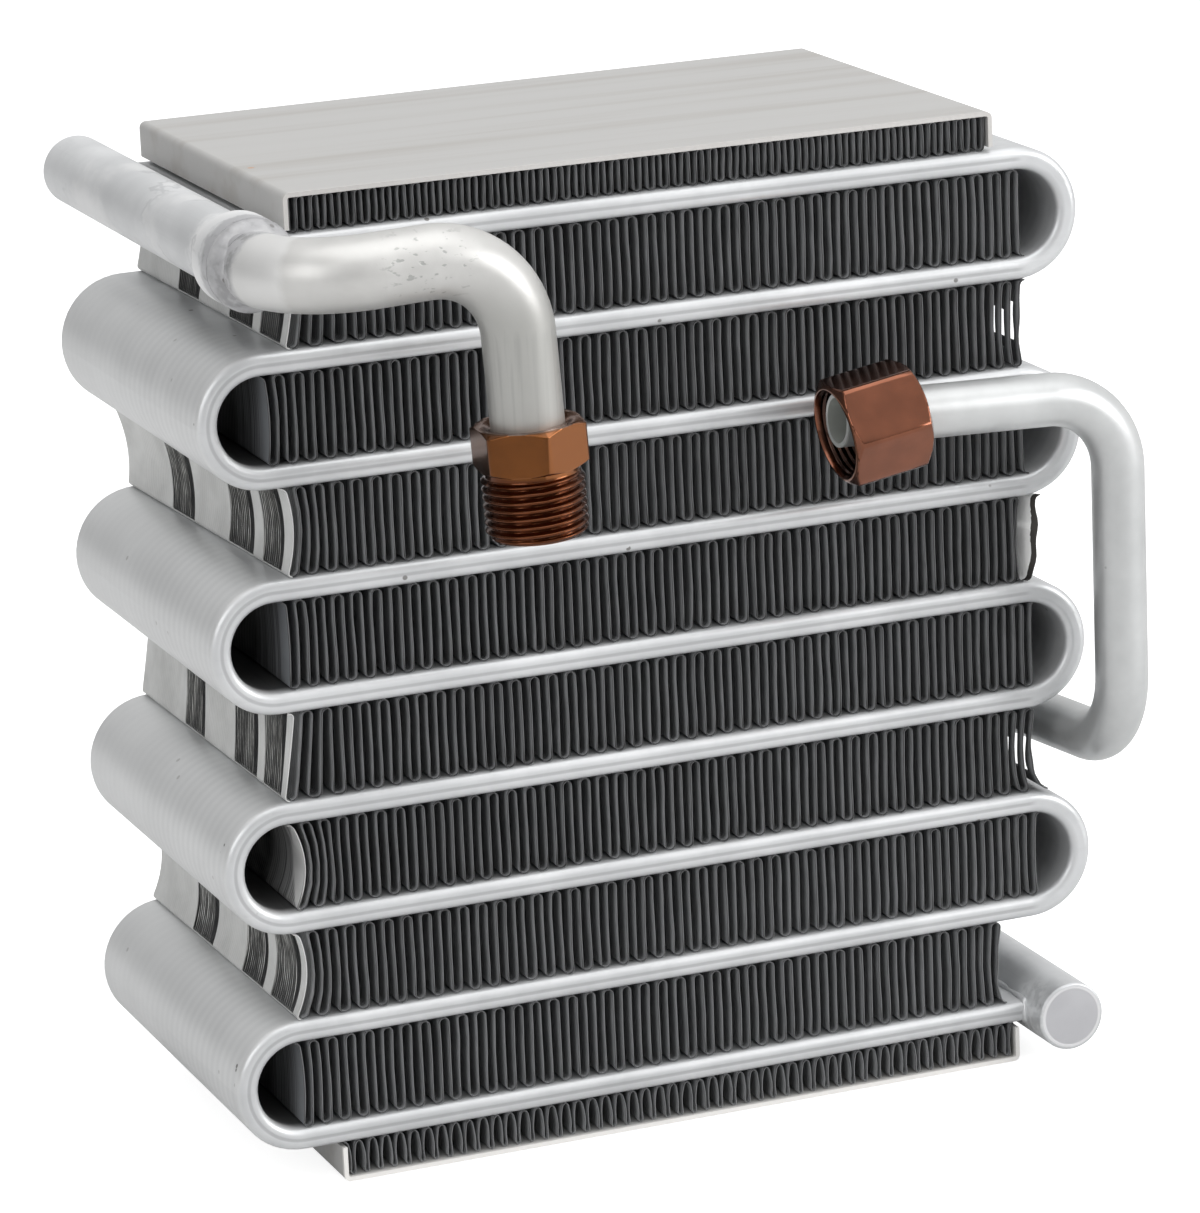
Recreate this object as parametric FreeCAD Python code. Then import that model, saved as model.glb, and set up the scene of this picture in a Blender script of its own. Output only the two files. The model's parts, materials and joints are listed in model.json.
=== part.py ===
import FreeCAD, Part
import math
import os

from FreeCAD import Vector

# Evaporator core with one flat tube bent to and fro, folded fins between its runs,
# a header at each end of the tube, and a bent pipe with a screwed end on each header.
# X runs along the front face, Y to the back, Z up. The origin is at the middle of the
# bottom plate's lower face.

# Flat tube
RUN_COUNT = 9
RUN_PITCH = 25.0
TUBE_THICKNESS = 5.0
TUBE_WIDTH = 101.0
TUBE_NOSE_RADIUS = 1.8
TUBE_WALL = 0.7
PORT_COUNT = 12
PORT_WEB = 0.6
CORE_WIDTH = 209.0

# Folded fins
FIN_SHEET = 0.15
FIN_SETBACK = 1.0
FIN_WAVE = 4.4
FIN_CORNER_RADIUS = 0.8
FIN_CORNER_FOLDS = 2
FIN_BOW = 0.25
END_LEG_BOW = 1.5
END_LEG_COUNT = 5
EDGE_FIN_HEIGHT = 8.0
TOP_FIN_WAVE = 3.3
BOTTOM_FIN_WAVE = 3.1
EDGE_FIN_CORNER_RADIUS = 0.6
EDGE_FIN_BOW = 0.1
FIN_END_CLEARANCE = 0.3

# Where each full fin stops at the front, to the left and right of the core's middle,
# how far its back edge sits to the left of its front edge, and how far the foot of its
# left end leg stands to the left of the top
FIN_ENDS = {
    1: (80.2, 90.4, 2.0, 3.2),
    2: (88.5, 90.2, 0.0, 0.0),
    3: (85.2, 90.2, 5.0, 0.6),
    4: (86.6, 92.0, 0.0, 0.0),
    5: (86.2, 91.2, 1.3, 3.2),
    6: (88.2, 91.6, 0.0, 0.0),
    7: (88.2, 91.0, 1.8, 1.6),
    8: (89.4, 81.4, 0.0, 0.0),
}

# Windows in the last leg of the fins that are open to the left: where they start and end in Y
WINDOWS = ((-45.5, -32.5), (-28.0, -13.0), (7.3, 21.2))
WINDOW_MARGIN = 1.2

# Side plates
PLATE_SHEET = 1.0
PLATE_LENGTH = 166.0
PLATE_FLANGE = 8.0
PLATE_BEND_RADIUS = 1.5
TOP_PLATE_SHIFT = 0.7
BOTTOM_PLATE_SHIFT = 2.0

# Headers
HEADER_X = 94.6
HEADER_RADIUS = 8.0
HEADER_WALL = 1.5
SUCTION_OVERHANG = 11.0
LIQUID_OVERHANG = 8.0
TUBE_ENTRY = 2.2
CAP_RADIUS = 7.3
CAP_THICKNESS = 1.8
HEADER_EDGE_RADIUS = 0.6

# Socket at the open end of each header, and the filler ring at its mouth
SOCKET_REACH = 14.3
SOCKET_DEPTH = 9.5
SOCKET_FLARE = 5.0
SOCKET_WALL = 2.2
FILLER_LENGTH = 3.4
FILLER_HEIGHT = 1.6

# Suction pipe and its screwed fitting
SUCTION_PIPE_RADIUS = 7.9375
SUCTION_PIPE_WALL = 1.2
SUCTION_PIPE_FRONT = 37.0
SUCTION_DROP_X = -45.5
SUCTION_RISE = 1.8
SUCTION_TURN_RADIUS = 19.0
SUCTION_DROP_RADIUS = 18.5
FITTING_END_X = -42.1
FITTING_END_Z = 151.7
THREAD_LENGTH = 15.0
THREAD_RADIUS = 11.1125
THREAD_CHAMFER = 1.2
THREAD_RELIEF_RADIUS = 10.0
THREAD_RELIEF_LENGTH = 1.6
FITTING_HEX_AF = 22.225
FITTING_HEX_HEIGHT = 9.4
FITTING_HEX_TURN = -32.5
FITTING_SOCKET_DEPTH = 6.0
FITTING_PILOT_RADIUS = 8.1
FITTING_PILOT_DEPTH = 8.0
FITTING_SEAT_RADIUS = 9.3

# Liquid pipe with its stop bead
LIQUID_PIPE_RADIUS = 6.0
LIQUID_PIPE_WALL = 1.0
LIQUID_PIPE_FRONT = 17.0
PILOT_END_X = 36.4
PILOT_END_Z = 162.1
LIQUID_DROP_X = 104.6
LIQUID_DROP_Z = 159.7
LIQUID_PASS_Z = 77.2
LIQUID_BACK_X = 99.0
LIQUID_BACK_Z = 68.5
LIQUID_BACK_REACH = 35.5
LIQUID_FRONT_RADIUS = 17.6
LIQUID_PASS_RADIUS = 18.0
LIQUID_BACK_RADIUS = 16.0
BEAD_DISTANCE = 12.0
BEAD_WIDTH = 2.4
BEAD_HEIGHT = 1.6

# Loose nut on the liquid pipe
NUT_LENGTH = 18.9
NUT_HEX_AF = 22.225
NUT_HEX_TURN = 1.0
NUT_BORE_RADIUS = 9.3
NUT_MOUTH_RADIUS = 9.9
NUT_SHOULDER = 3.0
NUT_BACK_RADIUS = 7.0
NUT_FRONT_DROOP = 3.1
NUT_BACK_LIFT = 0.55
NUT_OVERHANG = 0.5

# Both hexagons
HEX_RIM_RADIUS = 10.6
HEX_CHAMFER_ANGLE = 30.0

X_AXIS = Vector(1, 0, 0)
Y_AXIS = Vector(0, 1, 0)
Z_AXIS = Vector(0, 0, 1)

FRONT_Y = -TUBE_WIDTH / 2
BACK_Y = TUBE_WIDTH / 2
BOTTOM_RUN_Z = PLATE_SHEET + EDGE_FIN_HEIGHT + TUBE_THICKNESS / 2
TOP_RUN_Z = BOTTOM_RUN_Z + (RUN_COUNT - 1) * RUN_PITCH
CORE_HEIGHT = TOP_RUN_Z + BOTTOM_RUN_Z
BEND_CENTRE_X = (CORE_WIDTH - RUN_PITCH - TUBE_THICKNESS) / 2
TUBE_END_X = HEADER_X - HEADER_RADIUS + HEADER_WALL + TUBE_ENTRY


def run_z(run):
    """Height of the middle of a run, counted from the top."""
    return TOP_RUN_Z - (run - 1) * RUN_PITCH


def turned(direction, angle):
    """A direction in the XZ plane turned from X towards Z, in radians."""
    cosine, sine = math.cos(angle), math.sin(angle)
    return Vector(direction.x * cosine - direction.z * sine, 0,
                  direction.x * sine + direction.z * cosine)


def arc_points(centre, start, turn, count):
    """Points along an arc in the XZ plane after its start, evenly spaced."""
    spoke = start - centre
    return [centre + turned(spoke, turn * (i + 1) / count) for i in range(count)]


def side_chain(points, radii, shift, folds):
    """Edges beside a polyline in the XZ plane, shifted to its left.

    Each corner is an arc, or as many straight folds as given.
    """
    edges = []
    last = None
    for i in range(len(points)):
        if i == 0 or i == len(points) - 1:
            a, b = (points[0], points[1]) if i == 0 else (points[-2], points[-1])
            normal = turned((b - a).normalize(), math.pi / 2)
            start = end = points[i] + normal * shift
        else:
            before = (points[i] - points[i - 1]).normalize()
            after = (points[i + 1] - points[i]).normalize()
            turn = math.atan2(before.x * after.z - before.z * after.x, before.dot(after))
            side = 1 if turn > 0 else -1
            reach = radii[i - 1] * math.tan(abs(turn) / 2)
            normal_in = turned(before, math.pi / 2)
            normal_out = turned(after, math.pi / 2)
            centre = points[i] - before * reach + normal_in * (side * radii[i - 1])
            radius = radii[i - 1] - side * shift
            start = centre - normal_in * (side * radius)
            end = centre - normal_out * (side * radius)
            middle = (normal_in + normal_out).normalize()
            through = centre - middle * (side * radius)
        if last is not None and (start - last).Length > 1e-6:
            edges.append(Part.LineSegment(last, start).toShape())
        if (end - start).Length > 1e-6 and folds:
            for point in arc_points(centre, start, turn, folds):
                edges.append(Part.LineSegment(start, point).toShape())
                start = point
        elif (end - start).Length > 1e-6:
            edges.append(Part.Arc(start, through, end).toShape())
        last = end
    return edges, last


def ribbon(points, radii, thickness, y, depth, skew=0.0, folds=0):
    """A strip of even thickness that follows a polyline, as deep as given in Y.

    A skewed strip moves sideways by that share of its distance from the front edge.
    """
    left, left_end = side_chain(points, radii, thickness / 2, folds)
    right, right_end = side_chain(points, radii, -thickness / 2, folds)
    left_start = left[0].Vertexes[0].Point
    right_start = right[0].Vertexes[0].Point
    caps = [Part.LineSegment(left_end, right_end).toShape(),
            Part.LineSegment(right_start, left_start).toShape()]
    wire = Part.Wire(Part.__sortEdges__(left + right + caps))
    face = Part.Face(wire)
    face.translate(Vector(skew * (y - FRONT_Y), y, 0))
    return face.extrude(Vector(skew * depth, depth, 0))


def tube_path():
    """Corners of the middle line of the tube, from the suction header down."""
    points = [Vector(-TUBE_END_X, 0, run_z(1))]
    bend_x = BEND_CENTRE_X + RUN_PITCH / 2
    for run in range(1, RUN_COUNT):
        side = 1 if run % 2 else -1
        points.append(Vector(side * bend_x, 0, run_z(run)))
        points.append(Vector(side * bend_x, 0, run_z(run + 1)))
    points.append(Vector(TUBE_END_X, 0, run_z(RUN_COUNT)))
    return points


def serpentine_tube():
    """The flat tube with rounded front and back edges and its row of ports."""
    points = tube_path()
    radii = [RUN_PITCH / 2] * (len(points) - 2)
    body = ribbon(points, radii, TUBE_THICKNESS, FRONT_Y, TUBE_WIDTH)
    edges = [edge for edge in body.Edges
             if abs(abs(edge.CenterOfMass.y) - TUBE_WIDTH / 2) < 1e-3
             and edge.Length > TUBE_THICKNESS + 1e-3]
    body = body.makeFillet(TUBE_NOSE_RADIUS, edges)
    edge_wall = TUBE_NOSE_RADIUS
    pitch = (TUBE_WIDTH - 2 * edge_wall + PORT_WEB) / PORT_COUNT
    ports = []
    for i in range(PORT_COUNT):
        y = FRONT_Y + edge_wall + i * pitch
        ports.append(ribbon(points, radii, TUBE_THICKNESS - 2 * TUBE_WALL, y, pitch - PORT_WEB))
    return body.cut(Part.makeCompound(ports))


def tube_plug(side):
    """The tube's outer section as a bar that starts at its end, for the header's slot."""
    z = run_z(1) if side < 0 else run_z(RUN_COUNT)
    inner_x = BEND_CENTRE_X - HEADER_RADIUS
    bar = Part.makeBox(TUBE_END_X - inner_x, TUBE_WIDTH, TUBE_THICKNESS,
                       Vector(inner_x, FRONT_Y, z - TUBE_THICKNESS / 2))
    edges = [edge for edge in bar.Edges
             if abs(edge.Vertexes[0].Point.x - edge.Vertexes[-1].Point.x) > 1]
    bar = bar.makeFillet(TUBE_NOSE_RADIUS, edges)
    return bar if side > 0 else bar.mirror(Vector(0, 0, 0), X_AXIS)


def leg_sway(leg, count, bow, left_bow, right_bow):
    """How far the middle of a leg stands to the right; legs near an end bow inwards."""
    sway = bow if leg % 3 else -bow
    left_share = 1 - leg / END_LEG_COUNT
    right_share = 1 - (count - 1 - leg) / END_LEG_COUNT
    if left_bow and left_share > 0:
        sway = left_bow * left_share
    if right_bow and right_share > 0:
        sway = -right_bow * right_share
    return sway


def folded_fin(left, right, low, high, wave, radius, bow, left_bow=0, right_bow=0, skew=0,
               lean=0):
    """A corrugated strip between two levels, its legs a half wave apart."""
    sheet = FIN_SHEET / 2
    low, high = low + sheet, high - sheet
    count = int(round((right - left) / (wave / 2))) + 1
    step = (right - left) / (count - 1)
    half = (high - low) / 2
    points, radii = [], []
    for leg in range(count):
        x = left + leg * step
        sway = leg_sway(leg, count, bow, left_bow, right_bow)
        slant = Vector(-lean * max(0, 1 - leg / END_LEG_COUNT), 0, low - high)
        top, foot = Vector(x, 0, high), Vector(x, 0, high) + slant
        first, last = (foot, top) if leg % 2 else (top, foot)
        points += [first, top + slant / 2 + X_AXIS * sway, last]
        radii += [radius, 0.75 * half * half / abs(sway), radius]
    return ribbon(points, radii[1:-1], FIN_SHEET, FRONT_Y + FIN_SETBACK,
                  TUBE_WIDTH - 2 * FIN_SETBACK, skew, FIN_CORNER_FOLDS)


def gap_levels(gap):
    """Lower and upper level of the space below a run."""
    return run_z(gap + 1) + TUBE_THICKNESS / 2, run_z(gap) - TUBE_THICKNESS / 2


def window(left, low, high, ends, skew, lean):
    """The bar that opens one window in the leg at a fin's left end."""
    half = (high - low) / 2 - FIN_SHEET / 2
    trim = 1 - WINDOW_MARGIN / half
    middle = Vector(left - lean / 2 + END_LEG_BOW, 0, (low + high) / 2)
    bow = Vector(END_LEG_BOW * trim, 0, 0)
    reach = Vector(lean / 2, 0, half) * trim
    points = [middle - bow + reach, middle, middle - bow - reach]
    radius = 0.75 * half * half / END_LEG_BOW
    return ribbon(points, [radius], 4 * FIN_SHEET, ends[0], ends[1] - ends[0], skew,
                  FIN_CORNER_FOLDS)


def full_fin(gap):
    """The fin in one space between two runs, with windows where its end shows."""
    low, high = gap_levels(gap)
    left, right, shift, lean = FIN_ENDS[gap]
    skew = -shift / TUBE_WIDTH
    open_left = gap % 2 == 1
    left_bow = END_LEG_BOW if open_left else 0
    right_bow = 0 if open_left else END_LEG_BOW / 2
    fin = folded_fin(-left, right, low, high, FIN_WAVE, FIN_CORNER_RADIUS, FIN_BOW,
                     left_bow, right_bow, skew, lean)
    if open_left:
        fin = fin.cut(Part.makeCompound([window(-left, low, high, ends, skew, lean)
                                         for ends in WINDOWS]))
    return fin


def edge_fin(shift, low, wave):
    """The low fin between an outer run and its side plate."""
    reach = PLATE_LENGTH / 2 - PLATE_SHEET - FIN_END_CLEARANCE - FIN_SHEET / 2
    return folded_fin(shift - reach, shift + reach, low, low + EDGE_FIN_HEIGHT, wave,
                      EDGE_FIN_CORNER_RADIUS, EDGE_FIN_BOW)


def side_plate(shift, side):
    """A flat plate with a folded flange at each end; side is 1 for the top, -1 for the bottom."""
    middle = PLATE_SHEET / 2
    reach = PLATE_LENGTH / 2 - middle
    level = CORE_HEIGHT - middle if side > 0 else middle
    foot = level - side * (PLATE_FLANGE - middle)
    points = [Vector(shift - reach, 0, foot), Vector(shift - reach, 0, level),
              Vector(shift + reach, 0, level), Vector(shift + reach, 0, foot)]
    radius = PLATE_BEND_RADIUS - middle
    return ribbon(points, [radius, radius], PLATE_SHEET, FRONT_Y, TUBE_WIDTH)


def turned_body(profile, axis_point, axis):
    """A solid turned about an axis from (distance along it, radius) points."""
    across = X_AXIS if abs(axis.dot(X_AXIS)) < 0.9 else Y_AXIS
    radial = (across - axis * across.dot(axis)).normalize()
    corners = [axis_point + axis * along + radial * radius for along, radius in profile]
    wire = Part.makePolygon(corners + [corners[0]])
    return Part.Face(wire).revolve(axis_point, axis, 360)


def header(side):
    """A round header: closed end by a cap, open end formed into a socket."""
    z = run_z(1) if side < 0 else run_z(RUN_COUNT)
    overhang = SUCTION_OVERHANG if side < 0 else LIQUID_OVERHANG
    pipe_radius = SUCTION_PIPE_RADIUS if side < 0 else LIQUID_PIPE_RADIUS
    axis = Y_AXIS * (-1 if side < 0 else 1)
    start = Vector(side * HEADER_X, 0, z) - axis * (TUBE_WIDTH / 2 + overhang)
    mouth = overhang + TUBE_WIDTH + SOCKET_REACH
    socket = mouth - SOCKET_DEPTH
    bore = HEADER_RADIUS - HEADER_WALL
    socket_radius = pipe_radius + SOCKET_WALL
    profile = [(0, CAP_RADIUS), (0, HEADER_RADIUS),
               (socket - SOCKET_FLARE, HEADER_RADIUS), (socket, socket_radius),
               (mouth, socket_radius), (mouth, pipe_radius), (socket, pipe_radius),
               (socket, pipe_radius - HEADER_WALL), (socket - SOCKET_FLARE, bore),
               (CAP_THICKNESS, bore), (CAP_THICKNESS, CAP_RADIUS)]
    body = turned_body(profile, start, axis)
    rim = [edge for edge in body.Edges
           if abs((edge.CenterOfMass - start).dot(axis)) < 1e-3
           and abs(edge.Length - 2 * math.pi * HEADER_RADIUS) < 1e-2]
    body = body.makeFillet(HEADER_EDGE_RADIUS, rim)
    return body.cut(tube_plug(side))


def header_cap(side):
    """The disc that closes a header, set flush in its end."""
    z = run_z(1) if side < 0 else run_z(RUN_COUNT)
    overhang = SUCTION_OVERHANG if side < 0 else LIQUID_OVERHANG
    axis = Y_AXIS * (-1 if side < 0 else 1)
    start = Vector(side * HEADER_X, 0, z) - axis * (TUBE_WIDTH / 2 + overhang)
    return Part.makeCylinder(CAP_RADIUS, CAP_THICKNESS, start, axis)


def joint_filler(side):
    """The ring of filler metal between a header's mouth and its pipe."""
    z = run_z(1) if side < 0 else run_z(RUN_COUNT)
    pipe_radius = SUCTION_PIPE_RADIUS if side < 0 else LIQUID_PIPE_RADIUS
    axis = Y_AXIS * (-1 if side < 0 else 1)
    mouth = Vector(side * HEADER_X, 0, z) + axis * (TUBE_WIDTH / 2 + SOCKET_REACH)
    profile = [(0, pipe_radius), (0, pipe_radius + FILLER_HEIGHT),
               (FILLER_LENGTH / 3, pipe_radius + FILLER_HEIGHT * 0.7),
               (FILLER_LENGTH, pipe_radius + 0.1), (FILLER_LENGTH, pipe_radius)]
    return turned_body(profile, mouth, axis)


def bent_pipe(points, radii, outer, inner):
    """A round pipe along straight runs joined by tangent arcs."""
    pieces = []
    last = points[0]
    for i in range(1, len(points)):
        before = (points[i] - points[i - 1]).normalize()
        stop = points[i]
        if i < len(points) - 1:
            after = (points[i + 1] - points[i]).normalize()
            turn = before.getAngle(after)
            reach = radii[i - 1] * math.tan(turn / 2)
            stop = points[i] - before * reach
        ring = Part.Face(Part.Wire(Part.makeCircle(outer, last, before)))
        ring = ring.cut(Part.Face(Part.Wire(Part.makeCircle(inner, last, before))))
        pieces.append(ring.extrude(stop - last))
        if i < len(points) - 1:
            inward = (after - before * after.dot(before)).normalize()
            centre = stop + inward * radii[i - 1]
            ring = Part.Face(Part.Wire(Part.makeCircle(outer, stop, before)))
            ring = ring.cut(Part.Face(Part.Wire(Part.makeCircle(inner, stop, before))))
            axis = before.cross(after).normalize()
            pieces.append(ring.revolve(centre, axis, math.degrees(turn)))
            last = points[i] + after * reach
    solids = [piece.Solids[0] for piece in pieces]
    return solids[0].multiFuse(solids[1:]).removeSplitter()


def fitting_frame():
    """The end of the suction fitting and the direction from there up the pipe, which leans."""
    y = FRONT_Y - SUCTION_PIPE_FRONT
    end = Vector(FITTING_END_X, y, FITTING_END_Z)
    corner = Vector(SUCTION_DROP_X, y, run_z(1) + SUCTION_RISE)
    return end, (corner - end).normalize()


def suction_points():
    """Corners of the suction pipe, from the header's socket to the fitting."""
    z = run_z(1)
    y = FRONT_Y - SUCTION_PIPE_FRONT
    end, up = fitting_frame()
    return [Vector(-HEADER_X, FRONT_Y - SOCKET_REACH + SOCKET_DEPTH, z),
            Vector(-HEADER_X, y, z),
            Vector(SUCTION_DROP_X, y, z + SUCTION_RISE),
            end + up * (THREAD_LENGTH + FITTING_HEX_HEIGHT - FITTING_SOCKET_DEPTH)]


def suction_pipe():
    """The pipe from the suction header to its fitting."""
    return bent_pipe(suction_points(), [SUCTION_TURN_RADIUS, SUCTION_DROP_RADIUS],
                     SUCTION_PIPE_RADIUS, SUCTION_PIPE_RADIUS - SUCTION_PIPE_WALL)


def hexagon(across_flats, start, axis, length, turn):
    """A hexagonal bar with both rims chamfered, from start along its axis."""
    radius = across_flats / math.sqrt(3)
    side = X_AXIS if abs(axis.dot(X_AXIS)) < 0.9 else Y_AXIS
    u = (side - axis * side.dot(axis)).normalize()
    v = axis.cross(u)
    corners = []
    for i in range(7):
        angle = math.radians(turn + 60 * i)
        corners.append(start + u * (radius * math.cos(angle)) + v * (radius * math.sin(angle)))
    bar = Part.Face(Part.makePolygon(corners)).extrude(axis * length)
    over = radius + 1 - HEX_RIM_RADIUS
    drop = over * math.tan(math.radians(HEX_CHAMFER_ANGLE))
    profile = [(0, 0), (0, HEX_RIM_RADIUS), (drop, radius + 1), (length - drop, radius + 1),
               (length, HEX_RIM_RADIUS), (length, 0)]
    return bar.common(turned_body(profile, start, axis))


def suction_fitting():
    """The male fitting: hexagon, thread at its major size, pipe socket and pilot bore."""
    end, up = fitting_frame()
    total = THREAD_LENGTH + FITTING_HEX_HEIGHT
    bore = SUCTION_PIPE_RADIUS - SUCTION_PIPE_WALL
    socket = total - FITTING_SOCKET_DEPTH
    relief = THREAD_LENGTH - THREAD_RELIEF_LENGTH
    thread = turned_body([(0, 0), (0, THREAD_RADIUS - THREAD_CHAMFER),
                          (THREAD_CHAMFER, THREAD_RADIUS), (relief, THREAD_RADIUS),
                          (relief, THREAD_RELIEF_RADIUS), (THREAD_LENGTH, THREAD_RELIEF_RADIUS),
                          (THREAD_LENGTH, 0)], end, up)
    body = thread.fuse(hexagon(FITTING_HEX_AF, end + up * THREAD_LENGTH, up,
                               FITTING_HEX_HEIGHT, FITTING_HEX_TURN))
    mouth = FITTING_SEAT_RADIUS - FITTING_PILOT_RADIUS
    hollow = turned_body([(0, 0), (0, FITTING_SEAT_RADIUS), (mouth, FITTING_PILOT_RADIUS),
                          (FITTING_PILOT_DEPTH, FITTING_PILOT_RADIUS),
                          (FITTING_PILOT_DEPTH, bore), (socket, bore),
                          (socket, SUCTION_PIPE_RADIUS), (total, SUCTION_PIPE_RADIUS),
                          (total, 0)], end, up)
    return body.cut(hollow)


def liquid_points():
    """Corners of the liquid pipe, from its pilot end to the liquid header's socket."""
    front = FRONT_Y - LIQUID_PIPE_FRONT
    back = BACK_Y + LIQUID_BACK_REACH
    z = run_z(RUN_COUNT)
    return [Vector(PILOT_END_X, front, PILOT_END_Z),
            Vector(LIQUID_DROP_X, front, LIQUID_DROP_Z),
            Vector(LIQUID_DROP_X, front, LIQUID_PASS_Z),
            Vector(LIQUID_BACK_X, back, LIQUID_BACK_Z),
            Vector(HEADER_X, back, z),
            Vector(HEADER_X, BACK_Y + SOCKET_REACH - SOCKET_DEPTH, z)]


def liquid_pipe():
    """The long pipe from its pilot end down, through the core's side and to the header."""
    points = liquid_points()
    radii = [LIQUID_FRONT_RADIUS, LIQUID_PASS_RADIUS, LIQUID_BACK_RADIUS, LIQUID_BACK_RADIUS]
    pipe = bent_pipe(points, radii, LIQUID_PIPE_RADIUS, LIQUID_PIPE_RADIUS - LIQUID_PIPE_WALL)
    along = (points[1] - points[0]).normalize()
    core = LIQUID_PIPE_RADIUS - LIQUID_PIPE_WALL / 2
    crown = LIQUID_PIPE_RADIUS + BEAD_HEIGHT
    half = BEAD_WIDTH / 2
    bead = turned_body([(-half, core), (-half, crown - half / 2), (-half / 2, crown),
                        (half / 2, crown), (half, crown - half / 2), (half, core)],
                       points[0] + along * BEAD_DISTANCE, along)
    return pipe.fuse(bead)


def nut_frame():
    """Start and direction of the nut, which hangs askew on the pipe."""
    points = liquid_points()
    along = (points[1] - points[0]).normalize()
    up = (Z_AXIS - along * along.z).normalize()
    start = points[0] - along * NUT_OVERHANG - up * NUT_FRONT_DROOP
    tilt = math.asin((NUT_FRONT_DROOP + NUT_BACK_LIFT) / NUT_LENGTH)
    axis = along * math.cos(tilt) + up * math.sin(tilt)
    return start, axis


def liquid_nut():
    """The loose nut, its thread at the minor size, with the hole that holds it on the pipe."""
    start, axis = nut_frame()
    body = hexagon(NUT_HEX_AF, start, axis, NUT_LENGTH, NUT_HEX_TURN)
    mouth = NUT_MOUTH_RADIUS - NUT_BORE_RADIUS
    inside = NUT_LENGTH - NUT_SHOULDER
    hollow = turned_body([(0, 0), (0, NUT_MOUTH_RADIUS), (mouth, NUT_BORE_RADIUS),
                          (inside, NUT_BORE_RADIUS), (inside, NUT_BACK_RADIUS),
                          (NUT_LENGTH, NUT_BACK_RADIUS), (NUT_LENGTH, 0)], start, axis)
    return body.cut(hollow)


def all_parts():
    """Every sub-part under its node's name."""
    parts = {"serpentine_tube": serpentine_tube()}
    for gap in range(1, RUN_COUNT):
        parts["fin_%d" % gap] = full_fin(gap)
    top_gap = run_z(1) + TUBE_THICKNESS / 2
    parts["top_edge_fin"] = edge_fin(TOP_PLATE_SHIFT, top_gap, TOP_FIN_WAVE)
    parts["bottom_edge_fin"] = edge_fin(BOTTOM_PLATE_SHIFT, PLATE_SHEET, BOTTOM_FIN_WAVE)
    parts["top_side_plate"] = side_plate(TOP_PLATE_SHIFT, 1)
    parts["bottom_side_plate"] = side_plate(BOTTOM_PLATE_SHIFT, -1)
    for name, side in (("suction", -1), ("liquid", 1)):
        parts[name + "_header"] = header(side)
        parts[name + "_header_cap"] = header_cap(side)
        parts[name + "_joint_filler"] = joint_filler(side)
    parts["suction_pipe"] = suction_pipe()
    parts["suction_fitting"] = suction_fitting()
    parts["liquid_pipe"] = liquid_pipe()
    parts["liquid_nut"] = liquid_nut()
    return parts


def main():
    """Build each sub-part, report it and write its file."""
    os.makedirs("parts", exist_ok=True)
    for name, shape in all_parts().items():
        box = shape.BoundBox
        print("%-20s solids %d valid %s volume %.1f x %.1f..%.1f y %.1f..%.1f z %.1f..%.1f" % (
            name, len(shape.Solids), shape.isValid(), shape.Volume,
            box.XMin, box.XMax, box.YMin, box.YMax, box.ZMin, box.ZMax))
        shape.exportStep("parts/%s.step" % name)
    start, axis = nut_frame()
    print("nut start %s axis %s" % (start, axis))


main()
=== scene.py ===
"""The looks of an evaporator core: folded fins, screw threads, brazed seams and metal finishes.

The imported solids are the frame, in metres, with X to the right along the front face, Y to the
back along the air's way and Z up from the bottom plate. Lengths here are in millimetres unless
a name or a docstring says otherwise, and MM turns them into metres.
"""
from __future__ import annotations

import json
import logging
import math
from dataclasses import dataclass, field, replace
from enum import Enum
from functools import partial
from types import SimpleNamespace
from typing import Any, Callable

import bmesh
import bpy
from mathutils import Matrix, Vector

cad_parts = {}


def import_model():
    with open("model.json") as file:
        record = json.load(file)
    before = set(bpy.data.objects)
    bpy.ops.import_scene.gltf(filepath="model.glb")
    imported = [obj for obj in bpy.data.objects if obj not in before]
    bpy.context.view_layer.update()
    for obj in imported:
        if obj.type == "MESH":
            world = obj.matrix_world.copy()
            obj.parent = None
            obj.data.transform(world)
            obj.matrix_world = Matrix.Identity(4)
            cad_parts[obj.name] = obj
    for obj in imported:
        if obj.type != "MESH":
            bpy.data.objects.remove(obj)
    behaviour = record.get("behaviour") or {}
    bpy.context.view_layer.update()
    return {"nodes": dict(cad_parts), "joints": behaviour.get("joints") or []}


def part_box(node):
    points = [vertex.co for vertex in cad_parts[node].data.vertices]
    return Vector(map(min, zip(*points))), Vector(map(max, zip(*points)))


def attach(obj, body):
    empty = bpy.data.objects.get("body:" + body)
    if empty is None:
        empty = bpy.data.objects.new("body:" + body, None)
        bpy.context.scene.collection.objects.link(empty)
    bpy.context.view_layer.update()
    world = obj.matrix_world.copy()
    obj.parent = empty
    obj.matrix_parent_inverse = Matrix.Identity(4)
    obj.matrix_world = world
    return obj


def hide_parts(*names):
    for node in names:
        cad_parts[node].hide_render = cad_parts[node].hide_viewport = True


LOG = logging.getLogger("evaporator")
Colour = tuple[float, float, float]
Windows = tuple[tuple[float, float], ...]
Inputs = dict[int | str, Any]
Material = bpy.types.Material
Mesh = bpy.types.Mesh
Object = bpy.types.Object

MM = 0.001
INCH = 25.4
FULL_TURN = 2.0 * math.pi
QUARTER_TURN = math.pi / 2.0

# The core that the looks follow
RUN_PITCH = 25.0
BOTTOM_RUN = 11.5
TUBE_FRONT = -50.5
TUBE_DEPTH = 101.0
LOUVRE_PITCH = 1.1
HEADER_AXIS_X = 94.6
SUCTION_PIPE_FORWARD = 87.5
SUCTION_PIPE_RADIUS = 7.9375
LIQUID_PIPE_FORWARD = 67.5
WHITE = (1.0, 1.0, 1.0, 1.0)
X_AXIS, Y_AXIS = Vector((1.0, 0.0, 0.0)), Vector((0.0, 1.0, 0.0))
MERGE_REACH = 1e-6


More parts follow.
